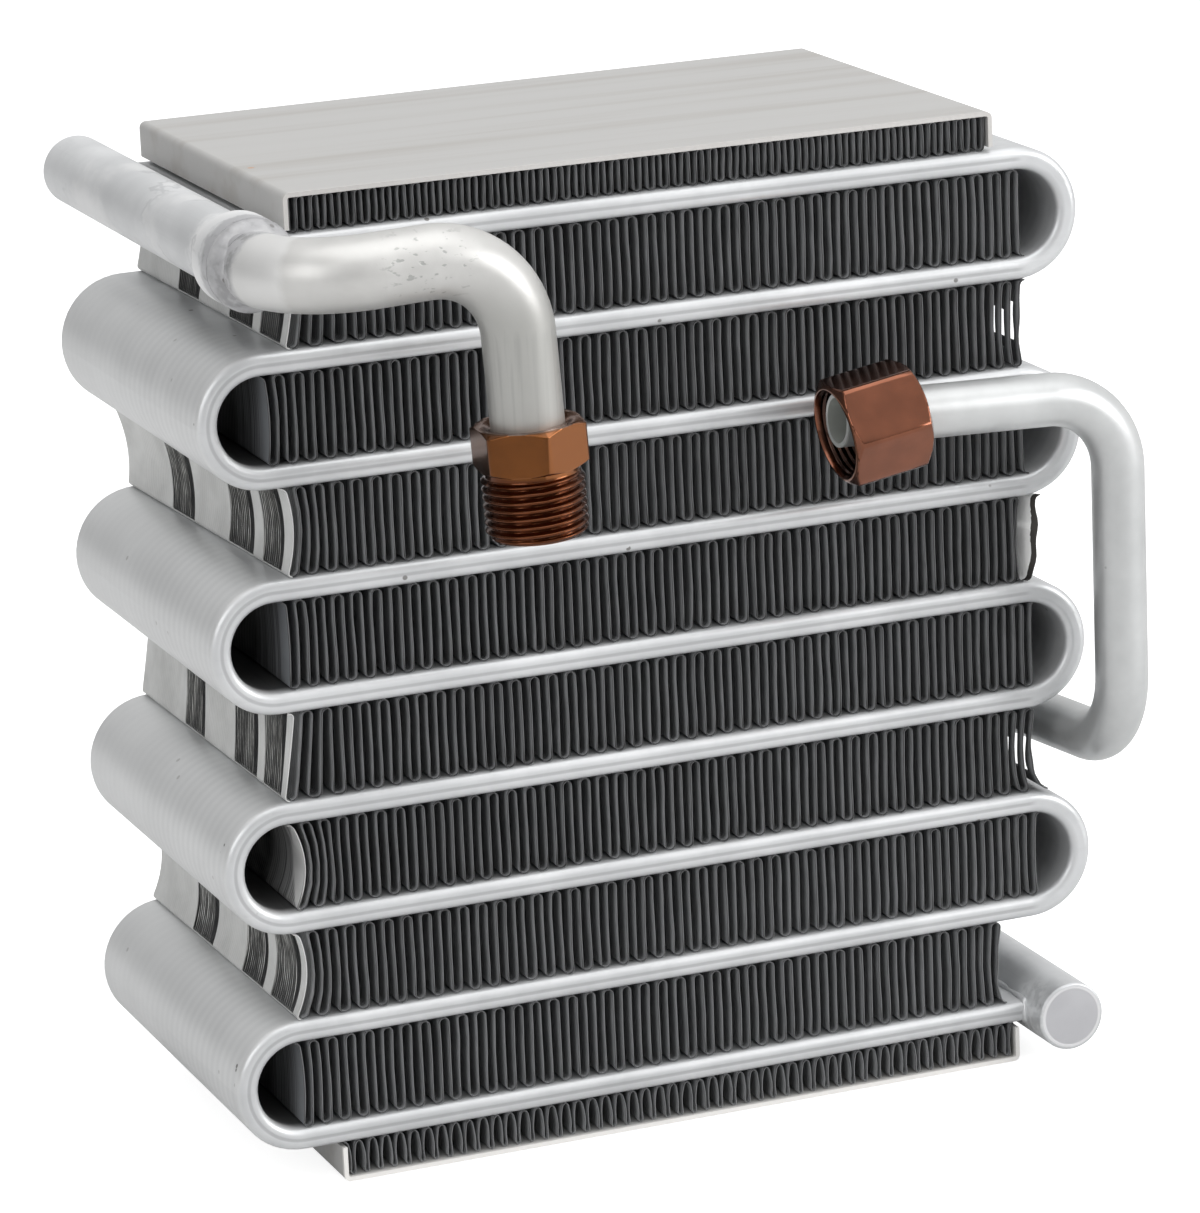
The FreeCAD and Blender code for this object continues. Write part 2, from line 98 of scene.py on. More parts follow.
class Body(Enum):
    """The rigid bodies of the part."""

    CORE = "core"
    NUT = "nut"


class Slot(Enum):
    """The record's material slots for the pieces made here."""

    FIN = "fin"
    EDGE_FIN = "edge_fin"
    FILLER = "filler"
    FITTING = "fitting"
    NUT = "nut"


# Node trees


def operation(name: str) -> Callable[..., Signal]:
    """Make a method that sends its signal and further values through one Math node.

    Args:
        name: The node's operation.

    Returns:
        The method.
    """

    def apply(self: Signal, *others: Signal | float) -> Signal:
        """Apply the Math node."""
        return self.graph.math(name, self, *others)

    return apply


class Signal:
    """A socket of a node tree that takes part in Python arithmetic."""

    __add__ = __radd__ = operation("ADD")
    __sub__ = operation("SUBTRACT")
    __mul__ = __rmul__ = operation("MULTIPLY")
    __truediv__ = operation("DIVIDE")
    __abs__ = operation("ABSOLUTE")
    low = operation("MINIMUM")
    high = operation("MAXIMUM")
    above = operation("GREATER_THAN")
    below = operation("LESS_THAN")
    sine = operation("SINE")
    cosine = operation("COSINE")
    whole = operation("FLOOR")
    root = operation("SQRT")

    def __init__(self, graph: Graph, socket: bpy.types.NodeSocket) -> None:
        """Keep the socket and the tree that new nodes go into."""
        self.graph = graph
        self.socket = socket

    def __rsub__(self, other: float) -> Signal:
        """Take this signal away from a number."""
        return self.graph.math("SUBTRACT", other, self)

    def ease(self, start: float, stop: float) -> Signal:
        """Go smoothly from nought at start to one at stop.

        Args:
            start: Value that gives nought.
            stop: Value that gives one; it may be the lower of the two.

        Returns:
            The eased signal.
        """
        if start > stop:
            return 1.0 - self.ease(stop, start)
        return self.graph.take("ShaderNodeMapRange", {0: self, 1: start, 2: stop, 3: 0.0, 4: 1.0},
                               {"interpolation_type": "SMOOTHSTEP"})

    def ease_mm(self, start: float, stop: float) -> Signal:
        """Ease a length or a place in metres between two values in millimetres."""
        return self.ease(start * MM, stop * MM)


class Graph:
    """Builds the nodes of one shader or geometry tree."""

    def __init__(self, tree: bpy.types.NodeTree) -> None:
        """Empty the tree that is to be filled."""
        self.tree = tree
        tree.nodes.clear()

    def node(self, kind: str, inputs: Inputs | None = None,
             settings: dict[str, Any] | None = None) -> bpy.types.Node:
        """Make a node, set its options first and then its sockets.

        Args:
            kind: The node's type name.
            inputs: Values or signals by socket name or number.
            settings: Attributes such as an operation.

        Returns:
            The new node.
        """
        node = self.tree.nodes.new(kind)
        for name, value in (settings or {}).items():
            setattr(node, name, value)
        for key, value in (inputs or {}).items():
            if isinstance(value, Signal):
                self.tree.links.new(value.socket, node.inputs[key])
            else:
                node.inputs[key].default_value = value
        return node

    def take(self, kind: str, inputs: Inputs | None = None,
             settings: dict[str, Any] | None = None, output: int | str = 0) -> Signal:
        """Make a node and return one of its outputs as a signal."""
        return Signal(self, self.node(kind, inputs, settings).outputs[output])

    def math(self, name: str, *values: Signal | float) -> Signal:
        """Apply a Math node to one, two or three values."""
        return self.take("ShaderNodeMath", dict(enumerate(values)), {"operation": name})

    def split(self, vector: Signal) -> tuple[Signal, ...]:
        """The three numbers of a vector."""
        node = self.node("ShaderNodeSeparateXYZ", {0: vector})
        return tuple(Signal(self, output) for output in node.outputs)

    def join(self, x: Signal | float, y: Signal | float, z: Signal | float) -> Signal:
        """A vector of three numbers."""
        return self.take("ShaderNodeCombineXYZ", {0: x, 1: y, 2: z})

    def noise(self, vector: Signal, scale: float, detail: float = 2.0,
              roughness: float = 0.5) -> Signal:
        """Smooth noise between nought and one; detail adds finer layers of that roughness."""
        return self.take("ShaderNodeTexNoise", {"Vector": vector, "Scale": scale, "Detail": detail,
                                                "Roughness": roughness})


class Finish(Graph):
    """A procedural material on the piece's own coordinates, built up coat by coat."""

    colour: Signal
    height: Signal

    def __init__(self, name: str) -> None:
        """Make an empty material.

        Args:
            name: The material's name.
        """
        self.material = bpy.data.materials.new(name)
        self.material.use_nodes = True
        super().__init__(self.material.node_tree)
        self.place = self.take("ShaderNodeTexCoord", output="Object")
        self.x, self.y, self.z = self.split(self.place)

    def cloud(self, scale: float, detail: float = 2.0, roughness: float = 0.5) -> Signal:
        """Noise that is the same along all axes, with its scale per metre."""
        return self.noise(self.place, scale, detail, roughness)

    def grain(self, scales: Colour, detail: float = 2.0, roughness: float = 0.5) -> Signal:
        """Noise with a scale per metre for each axis, for streaks."""
        stretched = self.join(self.x * scales[0], self.y * scales[1], self.z * scales[2])
        return self.noise(stretched, 1.0, detail, roughness)

    def ripples(self, pitch: float) -> Signal:
        """Waves along the depth, from nought to one."""
        return (self.y * (FULL_TURN / (pitch * MM))).sine() * 0.5 + 0.5

    def level(self) -> Signal:
        """Height over the lowest run, in runs."""
        return (self.z - BOTTOM_RUN * MM) / (RUN_PITCH * MM)

    def gap_share(self) -> Signal:
        """Height inside a space between two runs, from nought to one."""
        level = self.level()
        return level - level.whole()

    def near_crest(self) -> Signal:
        """Nought in the middle of a space between two runs and one at the runs' middles."""
        return abs(self.gap_share() - 0.5) * 2.0

    def blend(self, factor: Signal | float, first: Signal | Colour, second: Signal | Colour) -> Signal:
        """Mix two colours.

        Args:
            factor: Nought gives the first and one the second.
            first: A colour or a colour signal.
            second: A colour or a colour signal.

        Returns:
            The mixed colour.
        """
        ends = [end if isinstance(end, Signal) else (*end, 1.0) for end in (first, second)]
        return self.take("ShaderNodeMix", {0: factor, 6: ends[0], 7: ends[1]},
                         {"data_type": "RGBA"}, 2)

    def coat(self, factor: Signal | float, colour: Signal | Colour) -> None:
        """Lay one more colour over the finish."""
        self.colour = self.blend(factor, self.colour, colour)

    def specks(self, scale: float, size: float, share: float) -> Signal:
        """Small scattered spots, one where a spot is.

        Args:
            scale: Cells per metre.
            size: Radius of a spot as a share of its cell.
            share: Share of the cells that hold one.

        Returns:
            The mask of the spots.
        """
        node = self.node("ShaderNodeTexVoronoi", {"Vector": self.place, "Scale": scale})
        distance = Signal(self, node.outputs["Distance"])
        chance = self.split(Signal(self, node.outputs["Color"]))[0]
        return distance.ease(size, size * 0.6) * chance.below(share)

    def near(self, x: float, y: float, z: float, reach: float) -> Signal:
        """A soft spot about a point.

        Args:
            x: The point's place, as are y and z.
            y: See x.
            z: See x.
            reach: Where the spot has faded.

        Returns:
            One at the point and nought beyond the reach.
        """
        far = self.take("ShaderNodeVectorMath", {0: self.place, 1: (x * MM, y * MM, z * MM)},
                        {"operation": "DISTANCE"}, "Value")
        return far.ease_mm(reach, reach * 0.5)

    def close(self, roughness: Signal | float, metallic: float, relief: float,
              **fixed: float) -> Material:
        """End the material in one Principled shader.

        Args:
            roughness: Roughness.
            metallic: Metallic share.
            relief: How deep a height of one is.
            fixed: Further sockets that are the same all over, by name with underscores.

        Returns:
            The finished material.
        """
        normal = self.take("ShaderNodeBump",
                           {"Height": self.height, "Distance": relief * MM, "Strength": 1.0})
        inputs = {"Base Color": self.colour, "Roughness": roughness, "Metallic": metallic,
                  "Normal": normal}
        inputs |= {name.replace("_", " "): value for name, value in fixed.items()}
        shader = self.take("ShaderNodeBsdfPrincipled", inputs)
        self.node("ShaderNodeOutputMaterial", {0: shader})
        return self.material


Marks = Callable[[Finish], None]


def grey(level: float) -> Colour:
    """A colour without a hue."""
    return (level, level, level)


def dim(colour: Colour, share: float) -> Colour:
    """A colour times a share."""
    return tuple(part * share for part in colour)


# Finishes


@dataclass(frozen=True)
class SatinAluminium:
    """Bare aluminium with soft patches, fine grain and a few dark specks."""

    name: str
    light: Colour
    dark: Colour
    roughness: float
    metallic: float
    streaks: Colour = (1.0, 1.0, 1.0)
    speck_share: float = 0.008

    def make(self, marks: Marks | None = None) -> Material:
        """Build the material.

        Args:
            marks: Adds what only one piece has.

        Returns:
            The material.
        """
        finish = Finish(self.name)
        patches = finish.cloud(45.0, 4.0, 0.6)
        drawn = finish.grain(self.streaks, 3.0, 0.65)
        spots = finish.specks(420.0, 0.30, self.speck_share)
        finish.colour = finish.blend(patches.ease(0.30, 0.72), self.dark, self.light)
        finish.coat(drawn.ease(0.55, 0.85) * 0.25, dim(self.dark, 0.78))
        finish.coat(spots * 0.8, (0.16, 0.15, 0.14))
        finish.height = finish.cloud(2600.0) * 0.25 + drawn * 0.5 - spots
        if marks is not None:
            marks(finish)
        return finish.close(patches * 0.14 + (self.roughness - 0.07), self.metallic, 0.03)


@dataclass(frozen=True)
class TubeMarks:
    """What the flat tube carries along its runs and bends."""

    bend_x: float = 89.5
    front: float = TUBE_FRONT
    rib_pitch: float = 3.65

    def off_middle(self, finish: Finish) -> tuple[Signal, Signal, Signal]:
        """Measure where a point of the tube lies.

        Args:
            finish: The tube's material.

        Returns:
            Distance from the middle of the thickness, height over a bend's middle and reach
            inside the bend.
        """
        pitch = RUN_PITCH * MM
        level = finish.level()
        run_gap = abs(level - (level + 0.5).whole()) * pitch
        half = (level + finish.x.above(0.0) + 0.5) * 0.5
        turn = (half - half.whole() - 0.5) * 2.0 * pitch
        past = abs(finish.x) - self.bend_x * MM
        beyond, bent = past.high(0.0), past.above(0.0)
        radius = (beyond * beyond + turn * turn).root()
        bend_gap = abs(radius - pitch * 0.5)
        return bend_gap * bent + run_gap * (1.0 - bent), turn, pitch * 0.5 - radius

    def mark(self, finish: Finish) -> None:
        """Add the nose groove with painted shade in it, the ribs, painted light on the left bends' outer
        skin, the pits of the bends and painted shade in their insides.

        Args:
            finish: The tube's material.
        """
        middle, turn, inward = self.off_middle(finish)
        x, y, front = finish.x, finish.y, self.front
        left = x.below(0.0)
        outside = (abs(x) - self.bend_x * MM).ease_mm(-1.0, 3.0)
        nose = y.ease_mm(front + 0.9, front + 0.2)
        groove = middle.ease_mm(0.60, 0.15) * nose * (x - self.bend_x * MM).ease_mm(2.0, -1.0)
        fading = y.ease_mm(30.0, -20.0) * 0.7 + 0.3
        ribs = finish.ripples(self.rib_pitch) * outside * (1.0 - nose) * fading
        band = y.ease_mm(front + 0.9, front + 1.4) * y.ease_mm(front + 6.0, front + 5.0)
        band = band * turn.ease_mm(0.5, 1.5) * turn.ease_mm(8.0, 7.0)
        pits = finish.specks(600.0, 0.36, 0.16) * band * outside * left
        depth = y.ease_mm(front + 1.5, front + 5.0)
        painted_hollow_shade = inward.ease_mm(0.8, 2.0) * x.ease_mm(-82.0, -85.0) * depth
        # Painted shade: the nose groove is painted grey on top of its dent in the bump.
        finish.coat(groove * 0.45, (0.30, 0.30, 0.31))
        # Painted light: the outer skin of the left bends is painted paler.
        finish.coat(outside * left * (1.0 - nose) * 0.5, (0.86, 0.865, 0.86))
        finish.coat(ribs * 0.10, (0.34, 0.35, 0.36))
        finish.coat(pits * 0.85, (0.12, 0.11, 0.10))
        # Painted shade: the insides of the left bends are painted near black.
        finish.coat(painted_hollow_shade * 0.85, grey(0.04))
        strength = finish.z.ease_mm(150.0, 175.0) * 0.8 + 0.5
        finish.height = finish.height - groove * 1.2 + ribs * strength - pits * 2.0


def mark_fitting(finish: Finish) -> None:
    """Make the thread darker than the hexagon and paint a highlight on the hexagon's right front flat.

    Args:
        finish: The fitting's material.
    """
    angle = finish.math("ARCTAN2", finish.y + SUCTION_PIPE_FORWARD * MM, finish.x + 43.2 * MM)
    hexagon = finish.z.ease_mm(165.4, 165.9)
    painted_facet_highlight = angle.ease(-1.63, -1.60) * angle.ease(0.2, 0.0) * hexagon
    finish.colour = finish.blend(hexagon, (0.115, 0.033, 0.009), finish.colour)
    # Painted highlight: the hexagon's right front flat is painted paler, as if lit from the right.
    finish.coat(painted_facet_highlight * 0.9, (0.31, 0.115, 0.040))


def mark_suction_pipe(finish: Finish) -> None:
    """Whiten the first bend beside the joint, rub dashes over it, paint shade on the pipe's lower side and
    drop, and streak the drop.

    Args:
        finish: The pipe's material.
    """
    bend_y, bend_x = finish.y + 68.5 * MM, finish.x + 75.6 * MM
    bend_angle = finish.math("ARCTAN2", bend_y * -1.0, bend_x * -1.0)
    cloud = finish.cloud(260.0, 4.0, 0.65)
    white = (bend_angle + cloud * 0.10).ease(0.82, 0.72)
    joint = (bend_angle + cloud * 0.20).ease(0.34, 0.24)
    rubbed = finish.grain((420.0, 160.0, 900.0))
    dashes = rubbed.ease(0.60, 0.68) * finish.near(-66.0, -95.0, 213.5, 13.0)
    drawn = finish.grain((900.0, 900.0, 22.0), 3.0) * finish.z.ease_mm(203.0, 195.0)
    finish.coat(white * 0.65, (0.82, 0.82, 0.815))
    finish.coat(joint * 0.8, (0.50, 0.50, 0.515))
    finish.coat(joint * cloud.ease(0.50, 0.64) * 0.6, grey(0.28))
    # Painted shade: the pipe is painted darker lower down, on its underside and the drop.
    finish.coat(finish.z.ease_mm(211.0, 198.0) * 0.75, (0.40, 0.40, 0.38))
    finish.coat(drawn.ease(0.45, 0.75) * 0.35, (0.30, 0.30, 0.29))
    finish.coat(dashes * 0.55, (0.26, 0.27, 0.26))
    finish.height = finish.height - dashes + (joint + white) * cloud


def mark_liquid_pipe(finish: Finish) -> None:
    """Paint shade on the pilot end inside the nut and in its bore, and lighten the cut rim.

    Args:
        finish: The pipe's material.
    """
    side = finish.y + LIQUID_PIPE_FORWARD * MM
    rise = finish.z + (finish.x - 36.4 * MM) * 0.0352 - 162.1 * MM
    radius = (side * side + rise * rise).root()
    inner = radius.ease_mm(5.15, 5.0) * finish.x.ease_mm(66.0, 64.0)
    # Painted shade: the end inside the nut is darkened, and its bore is painted a flat darker grey.
    finish.coat(finish.x.ease_mm(56.0, 54.0) * 0.15, (0.26, 0.28, 0.29))
    finish.coat(inner, (0.56, 0.58, 0.55))
    finish.coat(finish.x.ease_mm(36.9, 36.6) * (1.0 - inner) * 0.9, (0.78, 0.80, 0.78))


def mark_suction_header(finish: Finish) -> None:
    """Lay pale flux stains with thin dark rims, whiten the socket and grey its lip.

    Args:
        finish: The header's material.
    """
    cloud = finish.grain((52.0, 34.0, 52.0), 4.0, 0.55)
    rims = abs(cloud - 0.5).ease(0.022, 0.004) * finish.cloud(38.0, 1.0).ease(0.42, 0.58)
    ragged = finish.cloud(230.0, 3.0, 0.6)
    along = finish.y + (ragged - 0.5) * 12.0 * MM
    white = along.ease_mm(-44.0, -50.0) * finish.y.ease_mm(-66.0, -52.0)
    lip = (finish.y + (ragged - 0.5) * 8.0 * MM).ease_mm(-59.5, -62.0)
    finish.coat(cloud.ease(0.45, 0.60) * 0.5, grey(0.88))
    finish.coat(white * 0.7 + 0.1, grey(0.93))
    finish.coat(lip * 0.85, (0.46, 0.46, 0.475))
    finish.coat(lip * ragged.ease(0.52, 0.64) * 0.6, grey(0.24))
    finish.coat(rims * 0.35, (0.36, 0.37, 0.38))
    finish.height = finish.height + cloud * 1.5 - rims


def mark_liquid_header(finish: Finish) -> None:
    """Smear bright solder beside the flat tube's entry and leave one dark speck.

    Args:
        finish: The header's material.
    """
    smear = finish.near(87.0, -52.0, 13.0, 9.0) * finish.cloud(420.0, 3.0).ease(0.38, 0.56)
    finish.coat(smear * 0.7, (0.84, 0.85, 0.86))
    finish.coat(finish.near(86.7, -57.0, 15.2, 0.9) * 0.8, (0.10, 0.09, 0.08))
    finish.height += smear * 2.0


def mark_fillet(finish: Finish) -> None:
    """Mottle a smear of filler with dark and paler blots.

    Args:
        finish: The filler's material.
    """
    cloud = finish.cloud(240.0, 3.0, 0.55)
    finish.coat(cloud.ease(0.50, 0.36) * 0.3, grey(0.66))
    finish.coat(cloud.ease(0.50, 0.66) * 0.6, (0.24, 0.24, 0.245))
    finish.height += cloud


def mark_cap(finish: Finish) -> None:
    """Draw the bright seam ring round the liquid header's disc.

    Args:
        finish: The disc's material.
    """
    across, rise = finish.x - HEADER_AXIS_X * MM, finish.z - BOTTOM_RUN * MM
    radius = (across * across + rise * rise).root()
    ring = radius.ease_mm(6.5, 6.9) * finish.y.ease_mm(-40.0, -50.0)
    finish.coat(ring * 0.8, (0.80, 0.80, 0.81))
    finish.height += ring * 2.0


@dataclass(frozen=True)
class FinSheet:
    """Thin fin sheet with painted shade: a margin along both edges, a louvred middle painted darker as
    shade between the legs, a front edge painted darker still with more painted shade at the crests and the
    foot, and painted light lower down.
    """

    name: str = "fin_sheet"
    margin_colour: Colour = (0.46, 0.47, 0.48)
    louvre_colour: Colour = (0.24, 0.245, 0.25)
    edge_colour: Colour = (0.15, 0.152, 0.155)
    reach: float = 49.5
    margin: float = 1.8
    shade_depth: float = 0.0
    lens: bool = False
    rim: float = 0.40
    metallic: float = 0.35

    def make(self) -> Material:
        """Build the material.

        Returns:
            The material.
        """
        finish = Finish(self.name)
        cloud = finish.grain((700.0, 60.0, 120.0))
        depth = self.reach * MM - abs(finish.y)
        slats = finish.ripples(LOUVRE_PITCH)
        inner = depth.ease_mm(self.margin * 0.6, self.margin * 1.3)
        if self.lens:
            height = finish.near_crest() * 1.25
            width = (1.0 - height * height).high(0.0) * (self.margin * MM) + 0.3 * MM
            inner = (depth / width).ease(0.75, 1.1)
        # Painted shade: the louvred middle takes the louvre colour, with darker stripes between the slats.
        finish.colour = finish.blend(slats * 0.5, self.louvre_colour, dim(self.louvre_colour, 0.45))
        # Painted shade: dark upright streaks and a near black part beyond the shade depth.
        if self.shade_depth:
            streak = finish.grain((0.0, 900.0, 14.0))
            finish.coat(streak.ease(0.40, 0.62) * 0.7, grey(0.05))
            finish.coat(depth.ease_mm(self.shade_depth, self.shade_depth * 1.3), grey(0.015))
        # The margin keeps the sheet's own colour, painted near white on some sheets as painted light.
        finish.colour = finish.blend(inner, self.margin_colour, finish.colour)
        finish.coat(cloud.ease(0.35, 0.75) * 0.4, dim(self.louvre_colour, 0.6))
        # Painted shade: the front edge is dimmed near the crests and more at each space's foot.
        edge = finish.blend(finish.near_crest().ease(0.62, 0.82) * 0.78, self.edge_colour,
                            dim(self.edge_colour, 0.30))
        foot = finish.gap_share().ease(0.30, 0.17)
        edge = finish.blend(foot * 0.6, edge, dim(self.edge_colour, 0.15))
        finish.coat(depth.ease_mm(self.rim + 0.05, self.rim), edge)
        # Painted light: the lower fins are painted paler.
        finish.coat(finish.z.ease_mm(80.0, 15.0) * 0.15, (0.45, 0.46, 0.47))
        finish.height = cloud + slats * inner * 2.0
        return finish.close(0.5, self.metallic, 0.04)


@dataclass(frozen=True)
class SlatSheet:
    """Louvre slats striped with painted shade, with more painted shade at the foot and painted light that
    grows towards the lower fins.
    """

    name: str = "louvre_slat"
    light: Colour = (0.30, 0.30, 0.29)
    dark: Colour = grey(0.07)
    lower_painted_light: Colour = (0.56, 0.56, 0.54)
    lower_painted_shade: Colour = (0.14, 0.14, 0.135)
    lowest: Colour = (0.74, 0.74, 0.72)

    def make(self) -> Material:
        """Build the material.

        Returns:
            The material.
        """
        finish = Finish(self.name)
        finish.height = finish.grain((0.0, 1000.0, 5.0), 3.0, 0.6)
        # Painted light and shade: slats high under the header are painted darker, and lower ones paler.
        lower = finish.z.ease_mm(190.0, 165.0)
        light = finish.blend(lower, self.light, self.lower_painted_light)
        light = finish.blend(finish.z.ease_mm(110.0, 50.0), light, self.lowest)
        dark = finish.blend(lower, self.dark, self.lower_painted_shade)
        finish.colour = finish.blend(finish.height.ease(0.36, 0.66), light, dark)
        # Painted shade at the foot of each space.
        finish.coat(finish.gap_share().ease(0.34, 0.12) * 0.65, grey(0.03))
        return finish.close(0.5, 0.35, 0.04)


@dataclass(frozen=True)
class PanelSheet:
    """The pale outer face of a fin's end leg, faintly ribbed between its windows."""

    name: str = "fin_end_panel"
    light: Colour = (0.70, 0.705, 0.695)
    dark: Colour = (0.58, 0.585, 0.575)

    def make(self) -> Material:
        """Build the material.

        Returns:
            The material.
        """
        finish = Finish(self.name)
        cloud = finish.cloud(90.0, 4.0, 0.6)
        bank = finish.y.ease_mm(-11.0, -9.0) * finish.y.ease_mm(6.0, 4.0)
        bank = bank.high(finish.y.ease_mm(24.0, 26.0) * finish.y.ease_mm(40.0, 38.0))
        slats = finish.ripples(LOUVRE_PITCH) * bank
        finish.colour = finish.blend(cloud.ease(0.3, 0.7), self.dark, self.light)
        finish.coat(slats * 0.12, (0.30, 0.30, 0.29))
        finish.height = cloud * 2.0 + slats
        return finish.close(0.48, 0.35, 0.05)


@dataclass(frozen=True)
class RolledPlate:
    """Matte rolled sheet with faint brown streaks, a pale front rim that is painted near white on the
    bottom plate as light from below, and one rusty speck.
    """

    name: str = "rolled_plate"
    light: Colour = (0.53, 0.525, 0.515)
    dark: Colour = (0.43, 0.41, 0.385)

    def make(self) -> Material:
        """Build the material.

        Returns:
            The material.
        """
        finish = Finish(self.name)
        streak = finish.grain((4.0, 85.0, 85.0), 3.0, 0.55)
        fine = finish.grain((30.0, 1100.0, 1100.0), 3.0)
        finish.colour = finish.blend(streak.ease(0.46, 0.72) * 0.7, self.light, self.dark)
        finish.coat(fine.ease(0.5, 0.9) * 0.3, (0.50, 0.49, 0.47))
        finish.coat(finish.near(-78.6, -18.4, 223.0, 1.0) * 0.8, (0.55, 0.30, 0.16))
        # Painted light: on the bottom plate the front rim is painted near white, as light from the floor.
        low = finish.z.ease_mm(20.0, 10.0)
        rim = finish.blend(low, (0.72, 0.69, 0.66), (0.98, 0.96, 0.93))
        finish.coat(finish.y.ease_mm(-49.0, -50.4) * (low * 0.5 + 0.35), rim)
        finish.height = fine + streak
        return finish.close(streak * 0.1 + 0.46, 0.3, 0.02)


@dataclass(frozen=True)
class BrownAnodised:
    """Anodised aluminium, brown and half glossy, with worn orange edges and painted shade on its inner
    surfaces.
    """

    name: str
    colour: Colour
    edge: Colour = (0.50, 0.22, 0.10)
    roughness: float = 0.30
    coat: float = 0.3

    def make(self, marks: Marks | None = None) -> Material:
        """Build the material.

        Args:
            marks: Adds what only one piece has.

        Returns:
            The material.
        """
        finish = Finish(self.name)
        cloud = finish.cloud(160.0, 3.0)
        finish.height = finish.grain((250.0, 250.0, 2600.0)) + cloud
        finish.colour = finish.blend(cloud.ease(0.3, 0.75), self.colour, dim(self.colour, 1.25))
        if marks is not None:
            marks(finish)
        worn, inner = (finish.take("ShaderNodeAttribute", None, {"attribute_name": name}, "Fac")
                       for name in ("wear", "inner"))
        finish.coat(worn * 0.35, self.edge)
        # Painted shade: inner surfaces such as bores and the nut's thread are painted near black.
        finish.coat(inner, dim(self.colour, 0.10))
        return finish.close(cloud * 0.12 + (self.roughness - 0.06), 1.0, 0.015,
                            Coat_Weight=self.coat, Coat_Roughness=0.06)


# Meshes


def shade(mesh: Mesh, smooth: float) -> None:
    """Shade a mesh smooth but for its edges over an angle in degrees."""
    mesh.shade_smooth()
    mesh.set_sharp_from_angle(angle=math.radians(smooth))


def mesh_object(name: str, mesh: Mesh, material: Material) -> Object:
    """Put a mesh into the scene at the origin, in one material.

    Args:
        name: The object's name.
        mesh: Its mesh, in place.
        material: Its material.

    Returns:
        The new object.
    """
    piece = bpy.data.objects.new(name, mesh)
    bpy.context.scene.collection.objects.link(piece)
    mesh.materials.clear()
    mesh.materials.append(material)
    return piece


def baked(piece: Object) -> None:
    """Apply all modifiers of an object.

    Args:
        piece: The object, which gets a new mesh.
    """
    bpy.context.view_layer.update()
    graph = bpy.context.evaluated_depsgraph_get()
    mesh = bpy.data.meshes.new_from_object(piece.evaluated_get(graph))
    piece.modifiers.clear()
    piece.data = mesh


def make_solid(piece: Object, thickness: float) -> None:
    """Give a sheet its thickness, half to each side.

    Args:
        piece: The sheet.
        thickness: Its thickness.
    """
    solid = piece.modifiers.new("thickness", "SOLIDIFY")
    solid.thickness = thickness * MM
    solid.offset = 0.0
    baked(piece)


def enter(piece: Object, body: Body, slot: Slot, *nodes: str) -> None:
    """Attach a piece to its body and hide the solids that it stands in for.

    Args:
        piece: The piece.
        body: The body that it rides on.
        slot: Not used.
        nodes: The solids that it stands in for.
    """
    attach(piece, body.value)
    if nodes:
        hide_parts(*nodes)


def grid_mesh(name: str, rows: list[list[Vector]], skip: Callable[[int, int], bool] | None = None,
              closed: bool = False) -> Mesh:
    """A quad sheet through rows of points.

    Args:
        name: The mesh's name.
        rows: Points in rows of one length.
        skip: Says which cells, by row and column, stay open.
        closed: Whether each row's last point joins its first.

    Returns:
        The mesh.
    """
    width = len(rows[0])
    faces = []
    for i in range(len(rows) - 1):
        for j in range(width if closed else width - 1):
            if skip is None or not skip(i, j):
                k = (j + 1) % width
                faces.append((i * width + j, i * width + k, (i + 1) * width + k, (i + 1) * width + j))
    mesh = bpy.data.meshes.new(name)
    mesh.from_pydata([point for row in rows for point in row], [], faces)
    mesh.validate()
    return mesh


def closed_piece(name: str, rows: list[list[Vector]], material: Material, smooth: float,
                 **values: list[float]) -> Object:
    """A piece whose rows are rings and whose last ring joins the first.

    Args:
        name: The piece's name.
        rows: Rings of points of one length.
        material: The finish.
        smooth: Edges under this angle in degrees are shaded smooth.
        values: Attributes by name, with a value for each point.

    Returns:
        The piece, turned outwards.
    """
    width = len(rows[0])
    mesh = grid_mesh(name, [*rows, rows[0]], closed=True)
    for key, numbers in values.items():
        mesh.attributes.new(key, "FLOAT", "POINT").data.foreach_set("value", numbers + numbers[:width])
    work = bmesh.new()
    work.from_mesh(mesh)
    bmesh.ops.remove_doubles(work, verts=work.verts, dist=MERGE_REACH)
    bmesh.ops.recalc_face_normals(work, faces=work.faces)
    work.to_mesh(mesh)
    work.free()
    piece = mesh_object(name, mesh, material)
    shade(mesh, smooth)
    return piece


# Fins


class End(Enum):
    """The two ends of a fin."""

    LEFT = -1
    RIGHT = 1


@dataclass(frozen=True)
class Fold:
    """How one of the last legs of a fin differs from the even ones."""

    belly: float = 0.0
    lean: float = 0.0
    shift: float = 0.0
    # A pale leg takes the sheet painted near white as a painted reflection.
    pale: bool = False
    turn: float = 0.0


@dataclass(frozen=True)
class FinPlan:
    """Where one folded fin lies and how its legs stand.

    The shift is how far its back stands to the left of its front, and the slant how far the
    foot of the left end leg stands to the left of its top.
    """

    node: str
    left: float
    right: float
    low: float = 0.0
    high: float = 0.0
    wave: float = 4.4
    seed: float = 0.0
    shift: float = 0.0
    slant: float = 0.0
    left_bow: float = 0.0
    right_bow: float = 0.0
    crumple: float = 0.0
    corner: float = 1.0
    square: float = 1.0
    waviness: float = 0.5
    open_end: End | None = None
    flare: float = 0.0
    windows: Windows = ()
    shear: float = 0.0
    back_lean: float = 0.0
    bulge: float = 0.0
    right_folds: tuple[Fold, ...] = ()

    @property
    def skew(self) -> float:
        """Sideways shift per length of depth."""
        return -self.shift / TUBE_DEPTH

    @property
    def legs(self) -> int:
        """Number of legs."""
        return int(round((self.right - self.left) / (self.wave / 2.0))) + 1

    @property
    def step(self) -> float:
        """Distance from one leg to the next."""
        return (self.right - self.left) / (self.legs - 1)

    @property
    def between_runs(self) -> bool:
        """Whether the fin fills a whole space between two runs."""
        return self.node.startswith("fin")


